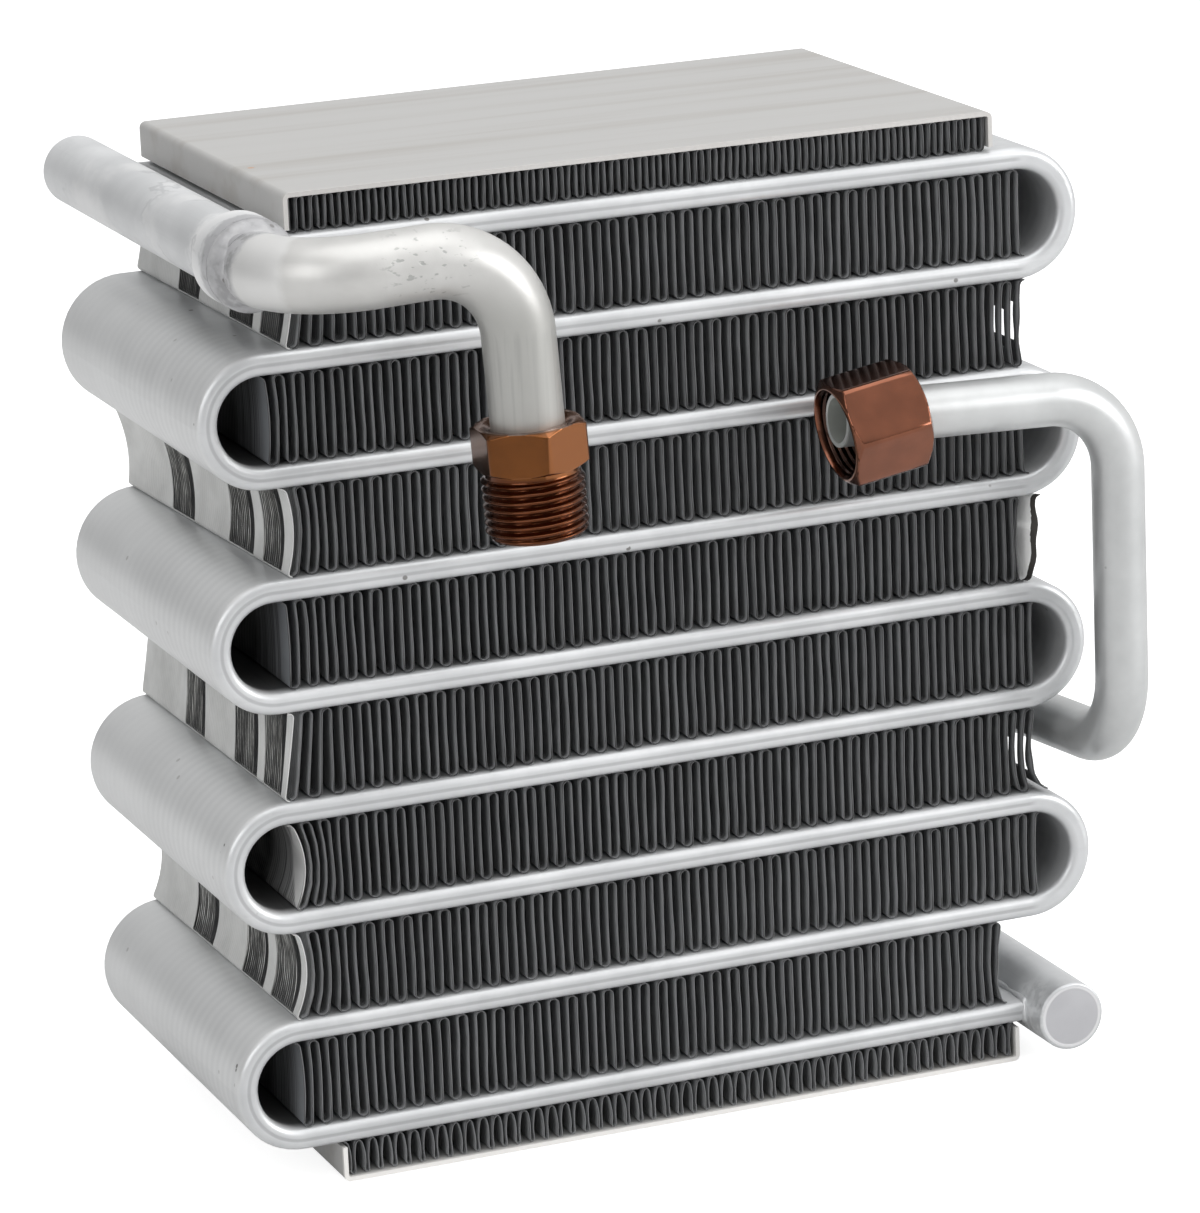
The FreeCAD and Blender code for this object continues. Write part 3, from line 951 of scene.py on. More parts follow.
def fin_plans() -> list[FinPlan]:
    """Every fin's place, taken from its solid's box and from how its ends stand.

    Returns:
        One plan for each fin.
    """
    back_windows = ((-28.0, -13.0), (7.3, 21.2))
    slits = ((-46.4, -36.0), *back_windows)
    even = Fold()
    torn = (Fold(-0.8, -0.6, -0.6), Fold(0.6, -1.6, 1.3, True, 2.4))
    left = partial(FinPlan, right_bow=0.3, open_end=End.LEFT)
    right = partial(FinPlan, left_bow=0.5, open_end=End.RIGHT, right_folds=(even,))
    plans = [
        left("fin_1", -80.2, 90.4, shift=2.0, slant=3.2, left_bow=0.3, shear=0.5,
             windows=((-45.9, -32.5), *back_windows)),
        right("fin_2", -88.5, 90.2, right_bow=0.6, crumple=0.3, windows=slits,
              right_folds=(even, even, even)),
        left("fin_3", -85.2, 90.2, shift=5.0, slant=0.6, left_bow=1.5, shear=2.4, back_lean=3.0,
             windows=((-44.8, -32.5), (-27.0, -12.0), (8.8, 22.7))),
        right("fin_4", -86.6, 91.6, right_bow=0.2, crumple=1.0, right_folds=torn),
        left("fin_5", -86.2, 91.2, shift=1.3, slant=3.2, left_bow=0.3, shear=3.0,
             windows=((-46.2, -32.5), *back_windows)),
        right("fin_6", -88.2, 91.2, left_bow=2.6, right_bow=0.8, crumple=0.3, flare=2.0,
              windows=slits, right_folds=(even, even, even)),
        left("fin_7", -88.2, 91.0, shift=1.8, slant=1.6, left_bow=2.1, shear=1.6,
             windows=((-46.2, -30.5), (-25.6, -11.5), (8.5, 22.5))),
        right("fin_8", -89.4, 81.4, right_bow=1.0, crumple=0.5)]
    edge_gap = 0.4
    for node, square, bulge in (("top_edge_fin", 0.9, 0.0), ("bottom_edge_fin", 0.5, 0.40)):
        low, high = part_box(node)
        plans.append(FinPlan(node, low.x / MM + edge_gap, high.x / MM - edge_gap, wave=3.3, corner=0.7,
                             square=square, waviness=0.3, bulge=bulge))
    heights = [(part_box(plan.node)[0].z / MM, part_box(plan.node)[1].z / MM) for plan in plans]
    return [replace(plan, low=low, high=high, seed=float(number))
            for number, (plan, (low, high)) in enumerate(zip(plans, heights), 1)]


class Form(Graph):
    """A geometry tree with named inputs, for a modifier that is baked at once."""

    def __init__(self, name: str, lengths: str, **others: str) -> None:
        """Make the tree and its inputs.

        Args:
            name: The tree's name.
            lengths: Names of the inputs that are given in millimetres.
            others: Names of further inputs, by kind of socket.
        """
        super().__init__(bpy.data.node_groups.new(name, "GeometryNodeTree"))
        self.lengths = lengths.split()
        self.kinds = dict.fromkeys(self.lengths, "Float")
        for kind, names in others.items():
            self.kinds |= dict.fromkeys(names.split(), kind)
        self.identifiers: dict[str, str] = {}
        for key, kind in self.kinds.items():
            socket = self.tree.interface.new_socket(name=key, in_out="INPUT",
                                                    socket_type="NodeSocket" + kind)
            self.identifiers[key] = socket.identifier
        self.tree.interface.new_socket(name="mesh", in_out="OUTPUT", socket_type="NodeSocketGeometry")
        outputs = self.node("NodeGroupInput").outputs
        self.given = SimpleNamespace(**{key: Signal(self, outputs[key]) for key in self.kinds})

    def grid(self, columns: Signal | int) -> tuple[Signal, Signal, Signal]:
        """A grid that runs from nought to one both ways.

        Args:
            columns: Number of points across; the rows are an input.

        Returns:
            The grid and its two positions.
        """
        mesh = self.take("GeometryNodeMeshGrid", {0: 1.0, 1: 1.0, 2: self.given.rows, 3: columns})
        u, v, _ = self.split(self.take("GeometryNodeInputPosition"))
        return mesh, u + 0.5, v + 0.5

    def finish(self, mesh: Signal) -> None:
        """Realise the mesh, paint it and give it out.

        Args:
            mesh: The finished geometry.
        """
        placed = self.take("GeometryNodeRealizeInstances", {0: mesh})
        painted = self.take("GeometryNodeSetMaterial", {0: placed, 2: self.given.material})
        self.node("NodeGroupOutput", {0: painted})

    def cast(self, name: str, **values: Any) -> Object:
        """Make an object from the tree.

        Args:
            name: The object's name.
            values: A value for each input.

        Returns:
            The object, without its modifier.
        """
        piece = bpy.data.objects.new(name, bpy.data.meshes.new(name))
        bpy.context.scene.collection.objects.link(piece)
        modifier = piece.modifiers.new("form", "NODES")
        modifier.node_group = self.tree
        for key, value in values.items():
            if key in self.lengths:
                value = value * MM
            modifier[self.identifiers[key]] = float(value) if self.kinds[key] == "Float" else value
        baked(piece)
        return piece


@dataclass
class FinFactory:
    """Folds every fin with one geometry tree and adds the end legs that show."""

    sheet: float = 0.20
    front: float = -49.5
    back: float = 49.5
    corner_share: float = 0.3
    rows_per_leg: int = 10
    columns: int = 9
    end_legs: float = 5.0
    window_rows: tuple[int, int] = (2, 15)
    slit: tuple[float, float] = (0.22, 0.68)
    strip: float = 4.01
    flare_start: float = 0.55
    turn_reach: float = 4.0
    slat_turn: float = 27.0
    slat_share: float = 0.95
    dark_gap: float = 2.0
    end_fade: float = 15.0
    smooth: float = 50.0
    plan_lengths: str = "left step low high slant left_bow right_bow corner bulge"
    plan_numbers: str = "legs skew crumple square waviness seed"

    def fold_form(self) -> Form:
        """The tree that folds a fin: straight legs joined by round crests.

        Returns:
            The tree.
        """
        form = Form("folded_fin", self.plan_lengths + " front depth", Int="rows columns",
                    Float=self.plan_numbers + " first last", Material="material")
        size = form.given
        mesh, u, v = form.grid(size.columns)
        along = size.first + u * (size.last - size.first)
        leg = (along + 0.0001).whole()
        share = along - leg
        half = (size.high - size.low) * 0.5
        start = (share / self.corner_share).low(1.0) * QUARTER_TURN
        stop = ((share - (1.0 - self.corner_share)) / self.corner_share).high(0.0) * QUARTER_TURN
        straight = ((share - self.corner_share) / (1.0 - 2.0 * self.corner_share)).high(0.0).low(1.0)
        round_x = (start.sine() - stop.cosine()) * 0.5
        across = (share - 0.5) + (round_x - (share - 0.5)) * size.square
        bend = size.corner / (half * 2.0)
        fall = bend * (1.0 - start.cosine() + stop.sine()) + (1.0 - bend * 2.0) * straight
        way = 1.0 - (leg - (leg * 0.5).whole() * 2.0) * 2.0
        level = (1.0 - fall * 2.0) * way
        belly = 1.0 - level * level
        near_left = (1.0 - leg * (1.0 / self.end_legs)).high(0.0)
        near_right = (1.0 - (size.legs - 1.0 - leg) * (1.0 / self.end_legs)).high(0.0)
        y = size.front + v * size.depth
        x = size.left + size.step * (leg + across)
        x = x + belly * (size.left_bow * near_left - size.right_bow * near_right)
        x = x - size.slant * near_left * (1.0 - level) * 0.5
        x = x + size.bulge * belly * way
        wave = form.noise(form.join(leg * 0.9 + size.seed * 31.7, y * 38.0, level * 0.75), 1.0, 1.0)
        drift = form.noise(form.join(leg * 0.13 + size.seed * 11.3, y * 9.0, level * 0.6), 1.0, 1.0)
        amount = size.waviness + size.crumple * near_right
        x = x + ((wave - 0.5) * 1.5 + (drift - 0.5) * 1.6) * amount * (1.0 - level * level * 0.5) * MM
        x = x + (y - size.front) * size.skew
        uneven = form.noise(form.join(leg * 0.77 + size.seed * 5.1, 0.5, 0.5), 1.0, 0.0)
        y = y + uneven.ease(0.35, 0.65) * (1.0 - v) * 0.35 * MM
        z = size.low + half * (level + 1.0)
        form.finish(form.take("GeometryNodeSetPosition", {0: mesh, 2: form.join(x, y, z)}))
        return form

    def leg_point(self, plan: FinPlan, leg: int, share: float, y: float) -> Vector:
        """A point of one leg, for the end legs that are made apart.

        Args:
            plan: The fin's place and shape.
            leg: The leg's number from the left.
            share: How far along the leg, from nought to one.
            y: The depth.

        Returns:
            The point, in metres.
        """
        start = min(share / self.corner_share, 1.0) * QUARTER_TURN
        stop = max((share - 1.0 + self.corner_share) / self.corner_share, 0.0) * QUARTER_TURN
        straight = min(max((share - self.corner_share) / (1.0 - 2.0 * self.corner_share), 0.0), 1.0)
        half = (plan.high - plan.low) / 2.0 - self.sheet
        bend = plan.corner / (2.0 * half)
        fall = bend * (1.0 - math.cos(start) + math.sin(stop)) + (1.0 - 2.0 * bend) * straight
        level = (1.0 - 2.0 * fall) * (1.0 if leg % 2 == 0 else -1.0)
        belly = 1.0 - level * level
        deep = (y - self.front) / (self.back - self.front)
        x = plan.left + plan.step * (leg + (math.sin(start) - math.cos(stop)) * 0.5)
        if leg == 0:
            x += plan.left_bow * belly - plan.slant * (1.0 - level) / 2.0
            x += 0.2 * math.sin(y * 0.13 + plan.seed) * belly
            x -= plan.back_lean * deep * deep * (1.0 + level) / 2.0
        else:
            fold = plan.right_folds[leg - plan.legs]
            last = 1.0 if leg == plan.legs - 1 else 0.3
            flare = max(0.0, -level - self.flare_start) / (1.0 - self.flare_start)
            x += last * plan.flare * flare - plan.right_bow * belly
            x += fold.belly * belly + fold.lean * (1.0 - level) / 2.0 + fold.shift
            x -= fold.turn * min(1.0, (y - self.front) / self.turn_reach)
            turn = y * 0.42 + level * 2.6 + plan.seed
            x += last * plan.crumple * (0.7 * math.sin(turn) + 0.5 * math.sin(2.3 * turn)) * belly
        x += (y - self.front) * plan.skew
        inside = min(1.0, (y - self.front) / self.end_fade, (self.back - y) / self.end_fade)
        y += plan.shear * max(0.0, inside) * level
        return Vector((x * MM, y * MM, ((plan.low + plan.high) / 2.0 + half * level) * MM))

    def end_leg(self, plan: FinPlan, leg: int, material: Material) -> Object:
        """An end leg that shows, with windows where the fin's end is open.

        Args:
            plan: The fin's place and shape.
            leg: Its number, counted from the left.
            material: The finish.

        Returns:
            The leg.
        """
        end = End.LEFT if leg == 0 else End.RIGHT
        windows = plan.windows if end is plan.open_end else ()
        edges = sorted({self.front, self.back, *(edge for pair in windows for edge in pair)})
        lines: list[float] = []
        for begin, stop in zip(edges[:-1], edges[1:]):
            count = max(1, round((stop - begin) / self.strip))
            lines += [begin + (stop - begin) * i / count for i in range(count)]
        lines.append(edges[-1])
        shares = [0.0, 0.1, 0.2, 0.3, *(0.3 + 0.4 * i / 12 for i in range(1, 13)), 0.8, 0.9, 1.0]
        rows = [[self.leg_point(plan, leg, share, y) for y in lines] for share in shares]
        first, last = self.window_rows

        def window(i: int, j: int) -> bool:
            """Whether a cell is inside a window."""
            middle = (lines[j] + lines[j + 1]) / 2.0
            height = (rows[i][j].z / MM - plan.low) / (plan.high - plan.low)
            return (first <= i <= last and (end is End.LEFT or self.slit[0] < height < self.slit[1])
                    and any(near < middle < far for near, far in windows))

        name = f"{plan.node}_leg_{leg}"
        piece = mesh_object(name, grid_mesh(name, rows, window), material)
        make_solid(piece, self.sheet)
        shade(piece.data, self.smooth)
        return piece

    @staticmethod
    def louvre_form() -> Form:
        """The tree that repeats one bowed and turned slat along a window.

        Returns:
            The tree.
        """
        form = Form("louvre_bank", "half bow slant lean shear width", Float="reach turn",
                    Int="rows count", Vector="start offset", Material="material")
        size = form.given
        mesh, u, v = form.grid(2)
        level = (u * 2.0 - 1.0) * size.reach
        x = size.bow * (1.0 - level * level) - size.slant * (1.0 - level) * 0.5
        x = x - size.lean * (1.0 + level) * 0.5
        x = x + (v - 0.5) * size.width * size.turn.sine()
        y = (v - 0.5) * size.width * size.turn.cosine() + size.shear * level
        slat = form.take("GeometryNodeSetPosition",
                         {0: mesh, 2: form.join(x, y, level * size.half)})
        line = form.take("GeometryNodeMeshLine",
                         {"Count": size.count, "Start Location": size.start, "Offset": size.offset})
        form.finish(form.take("GeometryNodeInstanceOnPoints", {"Points": line, "Instance": slat}))
        return form

    def louvres(self, plan: FinPlan, form: Form, material: Material) -> list[Object]:
        """Stand a bank of slats in each window of a fin's open left end.

        Args:
            plan: The fin's place and shape.
            form: The slats' tree.
            material: Their finish.

        Returns:
            One piece for each window.
        """
        banks = []
        for number, (begin, stop) in enumerate(plan.windows, 1):
            y = begin + LOUVRE_PITCH * 0.6 + self.dark_gap
            inside = min(1.0, ((begin + stop) / 2.0 - self.front) / self.end_fade)
            deep = (stop - self.front) / (self.back - self.front)
            start = Vector((plan.left + (y - self.front) * plan.skew, y, (plan.low + plan.high) / 2.0))
            piece = form.cast(
                f"{plan.node}_louvres_{number}", rows=9, start=start * MM,
                offset=Vector((LOUVRE_PITCH * plan.skew, LOUVRE_PITCH, 0.0)) * MM,
                count=int((stop - begin - self.dark_gap) / LOUVRE_PITCH), reach=0.90,
                turn=math.radians(self.slat_turn), half=(plan.high - plan.low) / 2.0 - self.sheet,
                bow=plan.left_bow, slant=plan.slant, shear=plan.shear * inside,
                lean=plan.back_lean * deep * deep, width=LOUVRE_PITCH * self.slat_share, material=material)
            make_solid(piece, self.sheet * 0.6)
            banks.append(piece)
        return banks

    def folded(self, plan: FinPlan, form: Form, material: Material) -> Object:
        """The folded sheet of one fin without the end legs that are made apart.

        Args:
            plan: The fin's place and shape.
            form: The tree that folds it.
            material: The sheet's finish.

        Returns:
            The sheet.
        """
        first, last = int(plan.between_runs), plan.legs - len(plan.right_folds)
        names = self.plan_lengths.split() + self.plan_numbers.split()
        values = {name: getattr(plan, name) for name in names}
        values["low"] += self.sheet
        values["high"] -= self.sheet
        piece = form.cast("folded_" + plan.node, **values, first=first, last=last, front=self.front,
                          depth=self.back - self.front, columns=self.columns,
                          rows=(last - first) * self.rows_per_leg + 1, material=material)
        make_solid(piece, self.sheet)
        shade(piece.data, self.smooth)
        return piece

    def build(self, plans: list[FinPlan]) -> None:
        """Make all fins in place of their solids.

        Args:
            plans: One plan for each fin.
        """
        sheet, panel, slat = FinSheet().make(), PanelSheet().make(), SlatSheet().make()
        # Painted light: fin_6's end leg has a margin painted near white, widest between the crests, and
        # painted shade deeper in.
        bright = FinSheet("painted_light_margin_sheet", (0.96, 0.96, 0.95), grey(0.80), (0.60, 0.60, 0.59),
                          margin=9.0, shade_depth=19.0, lens=True).make()
        # Painted reflection: the torn leg's face is painted near white, with a near black front rim.
        painted_sheen_foil = FinSheet("crumpled_foil_painted_sheen", (0.98, 0.98, 0.97), (0.90, 0.90, 0.89), (0.05, 0.045, 0.04),
                        margin=20.0, rim=1.1, metallic=0.05).make()
        # Painted shade deeper in, and a dim margin, for the left end legs of the other fins that open at
        # the right.
        faint = FinSheet("faint_margin_sheet", (0.30, 0.315, 0.335), (0.36, 0.37, 0.39),
                         margin=6.0, shade_depth=19.0).make()
        fold, louvre = self.fold_form(), self.louvre_form()
        for plan in plans:
            pieces = [self.folded(plan, fold, sheet)]
            if plan.open_end is End.LEFT:
                pieces.append(self.end_leg(plan, 0, panel))
                pieces += self.louvres(plan, louvre, slat)
            elif plan.open_end is End.RIGHT:
                pieces.append(self.end_leg(plan, 0, bright if plan.node == "fin_6" else faint))
            for leg, turned in enumerate(plan.right_folds, plan.legs - len(plan.right_folds)):
                pieces.append(self.end_leg(plan, leg, painted_sheen_foil if turned.pale else sheet))
            slot = Slot.FIN if plan.between_runs else Slot.EDGE_FIN
            enter(pieces[0], Body.CORE, slot, plan.node)
            for piece in pieces[1:]:
                enter(piece, Body.CORE, slot)
            LOG.info("%s: %d legs", plan.node, plan.legs)


# Screwed ends


@dataclass
class ScrewedEnd:
    """A hexagonal turned part with a thread, built ring by ring; the axis starts in metres."""

    name: str
    start: Vector
    axis: Vector
    turn: float
    threads_per_inch: float
    across_flats: float = 22.225
    corner_loss: float = 0.22
    rim: float = 10.6
    spokes: int = 144
    rows: list[tuple[float, Callable[[float], float], float, float]] = field(default_factory=list)

    def hexagon(self, angle: float) -> float:
        """Radius of the hexagon, its corners a little rounded.

        Args:
            angle: Where it is wanted.

        Returns:
            The radius.
        """
        sector = math.radians(60.0)
        local = (angle - math.radians(self.turn)) % sector - sector / 2.0
        flat = self.across_flats / 2.0 / math.cos(local)
        return min(flat, self.across_flats / math.sqrt(3.0) - self.corner_loss)

    def rings(self, wear: float, inner: float, *places: tuple[float, float]) -> None:
        """Add round rings of points.

        Args:
            wear: How worn the surface is there, from nought to one.
            inner: How much painted shade the surface gets as an inner one, from nought to one.
            places: The distance along the axis and the radius of each ring.
        """
        for along, radius in places:
            self.rows.append((along, lambda angle, radius=radius: radius, wear, inner))

    def hex_body(self, start: float, length: float) -> None:
        """Add the hexagon with both rims chamfered.

        Args:
            start: Where it begins along the axis.
            length: How long it is.
        """
        steps, chamfer = 6, math.radians(30.0)
        slope = math.tan(chamfer)
        reach = (self.across_flats / math.sqrt(3.0) - self.rim) * slope
        rise = [reach * i / steps for i in range(steps + 1)]
        middle = [reach + (length - 2.0 * reach) * part for part in (0.25, 0.5, 0.75)]
        for place in (*rise, *middle, *(length - reach + step for step in rise)):
            limit = self.rim + min(place, length - place) / slope
            edge = 1.0 if place in (0.0, length) else 0.0
            self.rows.append((start + place, lambda angle, limit=limit: min(self.hexagon(angle), limit),
                              edge, 0.0))

    def thread(self, start: float, stop: float, root: float, crest: float, runout: float,
               inner: float = 0.0) -> None:
        """Add a screw thread, whose ridge turns with the angle because the rings are flat.

        Args:
            start: Where it begins along the axis.
            stop: Where it ends.
            root: Radius at the bottom of the groove.
            crest: Radius at the top of the ridge.
            runout: Length over which the ridge fades at both ends.
            inner: How much painted shade the surface gets as an inner one, from nought to one.
        """
        rings_per_turn = 16
        pitch = INCH / self.threads_per_inch
        count = int(abs(stop - start) / pitch * rings_per_turn)
        for i in range(count + 1):
            place = start + (stop - start) * i / count
            fade = min(1.0, min(abs(place - start), abs(stop - place)) / runout)

            def radius(angle: float, place: float = place, fade: float = fade) -> float:
                """Radius of the thread at an angle."""
                phase = (place / pitch - angle / FULL_TURN) % 1.0
                ridge = (0.5 - 0.5 * math.cos(FULL_TURN * phase)) ** 0.8
                return root + (crest - root) * ridge * fade

            self.rows.append((place, radius, 0.0, inner))

    def build(self, material: Material) -> Object:
        """Join the rings into a closed body.

        Args:
            material: The finish.

        Returns:
            The piece.
        """
        side = X_AXIS if abs(self.axis.x) < 0.9 else Y_AXIS
        u = (side - self.axis * side.dot(self.axis)).normalized()
        v = self.axis.cross(u)
        angles = [FULL_TURN * k / self.spokes for k in range(self.spokes)]
        spokes = [(angle, u * math.cos(angle) + v * math.sin(angle)) for angle in angles]
        rows, wear, inner = [], [], []
        for along, radius, worn, inside in self.rows:
            middle = self.start + self.axis * (along * MM)
            rows.append([middle + spoke * (radius(angle) * MM) for angle, spoke in spokes])
            wear += [worn] * self.spokes
            inner += [inside] * self.spokes
        return closed_piece(self.name, rows, material, smooth=44.0, wear=wear, inner=inner)


def build_suction_fitting() -> None:
    """The male fitting with its real thread."""
    start = Vector((-42.1, -SUCTION_PIPE_FORWARD, 151.7)) * MM
    axis = (Vector((-45.5, -SUCTION_PIPE_FORWARD, 213.3)) * MM - start).normalized()
    part = ScrewedEnd("suction_male_fitting", start, axis, turn=-32.5, threads_per_inch=14.0, rim=11.2)
    bore, pilot, seat, pipe, neck = 6.74, 8.1, 9.3, 7.95, 10.0
    # Rings with an inner value of 0.8 get painted shade.
    part.rings(0.0, 0.8, (9.0, bore), (8.0, bore), (8.0, pilot), (1.2, pilot))
    part.rings(1.0, 0.0, (0.0, seat), (0.0, 9.9))
    part.thread(0.25, 13.6, root=10.05, crest=11.1, runout=0.9)
    part.rings(0.0, 0.0, (13.9, neck), (14.95, neck))
    part.hex_body(15.0, 9.4)
    part.rings(0.6, 0.0, (24.4, seat))
    part.rings(0.0, 0.0, (23.6, 8.3), (23.4, pipe))
    part.rings(0.0, 0.8, (18.45, pipe), (18.4, bore))
    brown = BrownAnodised("brown_fitting", (0.135, 0.044, 0.008), roughness=0.24).make(mark_fitting)
    enter(part.build(brown), Body.CORE, Slot.FITTING, "suction_fitting")


def build_liquid_nut(joint: dict[str, Any]) -> None:
    """The loose nut with its inner thread, about the joint's own axis.

    Args:
        joint: The nut's hinge from the frame.
    """
    axis = Vector(joint["axis"]).normalized()
    length = 18.9
    start = Vector(joint["pos_m"]) - axis * (length / 2.0 * MM)
    part = ScrewedEnd("loose_nut", start, axis, turn=1.0, threads_per_inch=16.0)
    back_hole, relief = 7.0, 9.5
    part.hex_body(0.0, length)
    part.rings(0.6, 0.0, (length, 7.4))
    part.rings(0.0, 0.0, (length - 0.4, back_hole))
    # The relief rings and the inner thread get painted shade through their inner value.
    part.rings(0.0, 0.9, (length - 3.0, back_hole), (length - 3.05, relief), (length - 4.5, relief))
    part.thread(length - 4.8, 1.3, root=9.75, crest=9.32, runout=0.8, inner=0.9)
    part.rings(0.0, 0.0, (0.0, 10.1))
    brown = BrownAnodised("brown_nut", (0.20, 0.068, 0.034), roughness=0.18, coat=0.5).make()
    enter(part.build(brown), Body.NUT, Slot.NUT, "liquid_nut")


# Brazed seams


@dataclass
class Seams:
    """The filler beads where tubes, headers and pipes are brazed together."""

    header_radius: float = 8.0
    tube_half: float = 2.5
    tube_nose: float = 1.8
    mouth_reach: float = 14.3

    def tube_seam(self, name: str, centre: Vector, side: float, material: Material) -> None:
        """The bead round the flat tube where it enters a header.

        Args:
            name: The piece's name.
            centre: A point on the header's axis, in metres.
            side: One where the header is to the right of the tube, minus one to its left.
            material: The finish.
        """
        steps, arc_steps, bead_sides = 40, 8, 10
        flat = TUBE_DEPTH / 2.0 - self.tube_nose
        arc = [math.pi * i / arc_steps for i in range(arc_steps + 1)]
        outline: list[tuple[float, float]] = []
        for face in (1.0, -1.0):
            points = [(-flat + 2.0 * flat * i / steps, self.tube_half) for i in range(face < 0.0, steps)]
            points += [(flat + self.tube_nose * math.sin(a), self.tube_half * math.cos(a)) for a in arc]
            outline += [(face * y, face * z) for y, z in points]
        path = [Vector((centre.x - side * math.sqrt(self.header_radius ** 2 - z ** 2) * MM, y * MM,
                        centre.z + z * MM)) for y, z in outline]
        rows = []
        for i, point in enumerate(path):
            along = (path[(i + 1) % len(path)] - path[i - 1]).normalized()
            across = along.cross(X_AXIS)
            if across.length <= 0.1:
                across = along.cross(Y_AXIS)
            across.normalize()
            up = along.cross(across)
            size = (0.75 + 0.30 * math.sin(i * 1.7) * math.sin(i * 0.45)) * MM
            rows.append([point + (across * math.cos(a) + up * math.sin(a)) * size
                         for a in (FULL_TURN * k / bead_sides for k in range(bead_sides))])
        enter(closed_piece(name, rows, material, smooth=80.0), Body.CORE, Slot.FILLER)

    @staticmethod
    def pipe_fillet(name: str, mouth: Vector, pipe_radius: float, material: Material) -> None:
        """The uneven fillet of filler from the socket's mouth on to the pipe.

        Args:
            name: The piece's name.
            mouth: The middle of the socket's mouth, in metres; the pipe leaves towards minus Y.
            pipe_radius: The pipe's radius.
            material: The finish.
        """
        profile = ((-0.6, 2.0), (0.1, 2.12), (0.8, 2.0), (1.7, 1.60), (2.7, 0.95), (3.8, 0.35),
                   (4.4, -0.1), (4.4, -0.6), (-0.6, -0.6))
        rows, steps = [], 72
        for angle in (FULL_TURN * i / steps for i in range(steps)):
            lump = 1.0 + 0.20 * math.sin(3.0 * angle + 1.0) + 0.10 * math.sin(7.0 * angle)
            smear = 1.0 + 0.22 * math.sin(2.0 * angle + 0.6) + 0.12 * math.sin(5.0 * angle)
            row = []
            for along, rise in profile:
                radius = pipe_radius + (rise * lump if 0.0 < rise < 2.0 else rise)
                reach = max(along, 0.0) * smear + min(along, 0.0)
                offset = Vector((math.cos(angle) * radius, -reach, math.sin(angle) * radius))
                row.append(mouth + offset * MM)
            rows.append(row)
        enter(closed_piece(name, rows, material, smooth=60.0), Body.CORE, Slot.FILLER)

    def build(self) -> None:
        """Make both tube seams and the fillet of the suction joint."""
        seam = SatinAluminium("brazed_seam", (0.80, 0.81, 0.82), (0.62, 0.63, 0.64), 0.34, 0.5,
                              speck_share=0.12).make()
        low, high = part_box("liquid_header_cap")
        self.tube_seam("liquid_tube_seam", (low + high) / 2.0, 1.0, seam)
        low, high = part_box("suction_header_cap")
        self.tube_seam("suction_tube_seam", (low + high) / 2.0, -1.0, seam)
        mouth = (low + high) / 2.0
        mouth.y = (TUBE_FRONT - self.mouth_reach) * MM
        smeared = SatinAluminium("joint_fillet", (0.52, 0.52, 0.53), (0.42, 0.42, 0.43), 0.50, 0.3,
                                 speck_share=0.10).make(mark_fillet)
        self.pipe_fillet("suction_joint_fillet", mouth, SUCTION_PIPE_RADIUS, smeared)


# Solids that stay


def dress_solids(nodes: dict[str, Object]) -> None:
    """Give every solid that stays its finish.

    Args:
        nodes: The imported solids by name.
    """
    header_grain, pipe_grain, cap_grain = (700.0, 12.0, 700.0), (60.0,) * 3, (90.0,) * 3
    pale, plain_dark = (0.72, 0.73, 0.74), (0.61, 0.62, 0.63)
    finishes = (
        (SatinAluminium("tube_skin", pale, plain_dark, 0.40, 0.55, (9.0, 700.0, 700.0)),
         TubeMarks().mark, ["serpentine_tube"]),
        (SatinAluminium("suction_header_skin", (0.75, 0.76, 0.77), (0.62, 0.63, 0.64), 0.44, 0.45,
                        header_grain), mark_suction_header, ["suction_header"]),
        (SatinAluminium("liquid_header_skin", pale, plain_dark, 0.42, 0.50, header_grain),
         mark_liquid_header, ["liquid_header"]),
        (SatinAluminium("cap_face", (0.57, 0.57, 0.59), (0.50, 0.50, 0.52), 0.45, 0.40, cap_grain),
         mark_cap, ["suction_header_cap", "liquid_header_cap"]),
        (SatinAluminium("suction_pipe_skin", (0.66, 0.655, 0.64), (0.57, 0.565, 0.55), 0.41, 0.55,
                        pipe_grain), mark_suction_pipe, ["suction_pipe"]),
        (SatinAluminium("liquid_pipe_skin", (0.66, 0.67, 0.67), (0.56, 0.57, 0.57), 0.36, 0.62,
                        pipe_grain), mark_liquid_pipe, ["liquid_pipe"]),
        (SatinAluminium("filler_ring", (0.48, 0.48, 0.49), (0.38, 0.38, 0.39), 0.46, 0.5,
                        speck_share=0.10), None, ["suction_joint_filler", "liquid_joint_filler"]))
    looks = [(finish.make(marks), names) for finish, marks, names in finishes]
    looks.append((RolledPlate().make(), ["top_side_plate", "bottom_side_plate"]))
    for material, names in looks:
        for name in names:
            for place in nodes[name].material_slots:
                place.material = material


# Studio


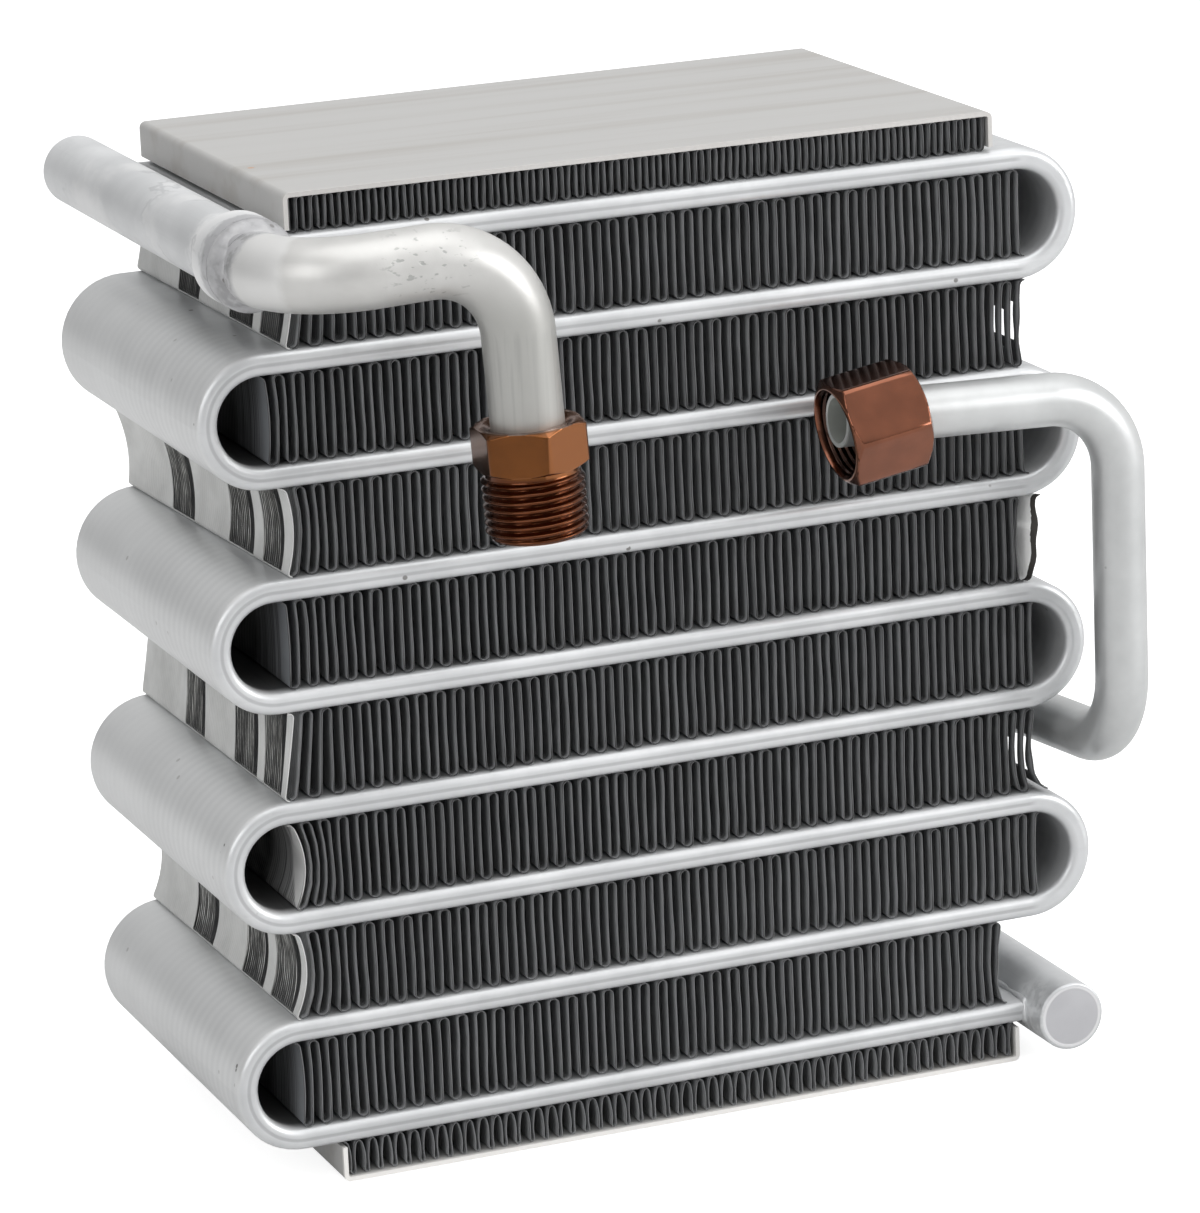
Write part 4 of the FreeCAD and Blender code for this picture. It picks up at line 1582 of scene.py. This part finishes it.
@dataclass
class Studio:
    """The camera of the photograph, soft lamps and a white ground."""

    eye: Colour = (-453.116, -1176.70, 450.542)
    yaw: float = 0.371398
    dip: float = 0.264638
    roll: float = 0.043767
    focal_pixels: float = 5690.11
    picture_width: float = 1200.0
    sensor_width: float = 36.0

    def camera(self) -> None:
        """Set up the camera with the photograph's viewpoint and lens."""
        lens = bpy.data.cameras.new("photo_camera")
        lens.sensor_fit = "HORIZONTAL"
        lens.sensor_width = self.sensor_width
        lens.lens = self.sensor_width * self.focal_pixels / self.picture_width
        lens.clip_start = 0.05
        lens.clip_end = 50.0
        holder = bpy.data.objects.new("photo_camera", lens)
        turns = ((-self.yaw, "Z"), (QUARTER_TURN - self.dip, "X"), (-self.roll, "Z"))
        holder.matrix_world = Matrix.Translation(Vector(self.eye) * MM)
        for angle, axis in turns:
            holder.matrix_world @= Matrix.Rotation(angle, 4, axis)
        bpy.context.scene.collection.objects.link(holder)
        bpy.context.scene.camera = holder

    @staticmethod
    def lamp(name: str, place: Colour, aim: Colour, size: float, power: float) -> None:
        """Hang a square soft lamp.

        Args:
            name: The lamp's name.
            place: Where it hangs, in metres.
            aim: The point it faces, in metres.
            size: Length of its side, in metres.
            power: Its power in watts.
        """
        light = bpy.data.lights.new(name, "AREA")
        light.size = size
        light.energy = power
        holder = bpy.data.objects.new(name, light)
        holder.location = place
        holder.rotation_euler = (Vector(aim) - Vector(place)).to_track_quat("-Z", "Y").to_euler()
        bpy.context.scene.collection.objects.link(holder)

    @staticmethod
    def ground() -> None:
        """Lay a floor that is white to the camera and keeps the object's shadow."""
        reach, sunk = 4.0, -0.0002
        rows = [[Vector((x, y, sunk)) for x in (-reach, reach)] for y in (-reach, reach)]
        material = bpy.data.materials.new("white_ground")
        material.use_nodes = True
        graph = Graph(material.node_tree)
        seen = graph.take("ShaderNodeLightPath", output="Is Camera Ray")
        matte = graph.take("ShaderNodeBsdfDiffuse", {0: (*grey(0.58), 1.0)})
        glow = graph.take("ShaderNodeEmission", {0: WHITE, 1: 0.80})
        lit = graph.take("ShaderNodeAddShader", {0: matte, 1: glow})
        bounce = graph.take("ShaderNodeBsdfDiffuse", {0: (*grey(0.71), 1.0)})
        chosen = graph.take("ShaderNodeMixShader", {0: seen, 1: bounce, 2: lit})
        graph.node("ShaderNodeOutputMaterial", {0: chosen})
        floor = mesh_object("floor", grid_mesh("floor", rows), material)

    @staticmethod
    def sky() -> None:
        """Surround the scene with white for the camera and soft grey light for the rest."""
        world = bpy.data.worlds.new("studio")
        world.use_nodes = True
        bpy.context.scene.world = world
        graph = Graph(world.node_tree)
        x, _, z = graph.split(graph.take("ShaderNodeTexCoord", output="Generated"))
        bright = (z * 0.7 + x * 0.50 + 0.12).ease(-0.2, 1.0) * 0.70 + 0.30
        soft = graph.take("ShaderNodeCombineColor", {0: bright, 1: bright, 2: bright})
        room = graph.take("ShaderNodeBackground", {0: soft, 1: 0.95})
        white = graph.take("ShaderNodeBackground", {0: WHITE, 1: 1.0})
        seen = graph.take("ShaderNodeLightPath", output="Is Camera Ray")
        chosen = graph.take("ShaderNodeMixShader", {0: seen, 1: room, 2: white})
        graph.node("ShaderNodeOutputWorld", {0: chosen})

    def build(self) -> None:
        """Set up the camera, the lamps, the ground and the surroundings."""
        self.camera()
        self.lamp("overhead", (0.1, -0.3, 1.5), (0.0, 0.0, 0.1), 1.3, 6.5)
        self.lamp("front_right", (1.35, -1.1, 0.7), (0.0, 0.0, 0.12), 0.9, 13.0)
        self.lamp("front_left", (-1.3, -0.9, 0.8), (0.0, 0.0, 0.12), 1.0, 6.3)
        self.ground()
        self.sky()
        bpy.context.scene.view_settings.view_transform = "Standard"


def main() -> None:
    """Load the frame, dress it and attach every new piece to its body."""
    logging.basicConfig(level=logging.INFO, format="%(message)s")
    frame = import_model()
    Studio().build()
    dress_solids(frame["nodes"])
    FinFactory().build(fin_plans())
    build_suction_fitting()
    build_liquid_nut(frame["joints"][0])
    Seams().build()
    LOG.info("all pieces are in place")


if __name__ == "__main__":
    main()
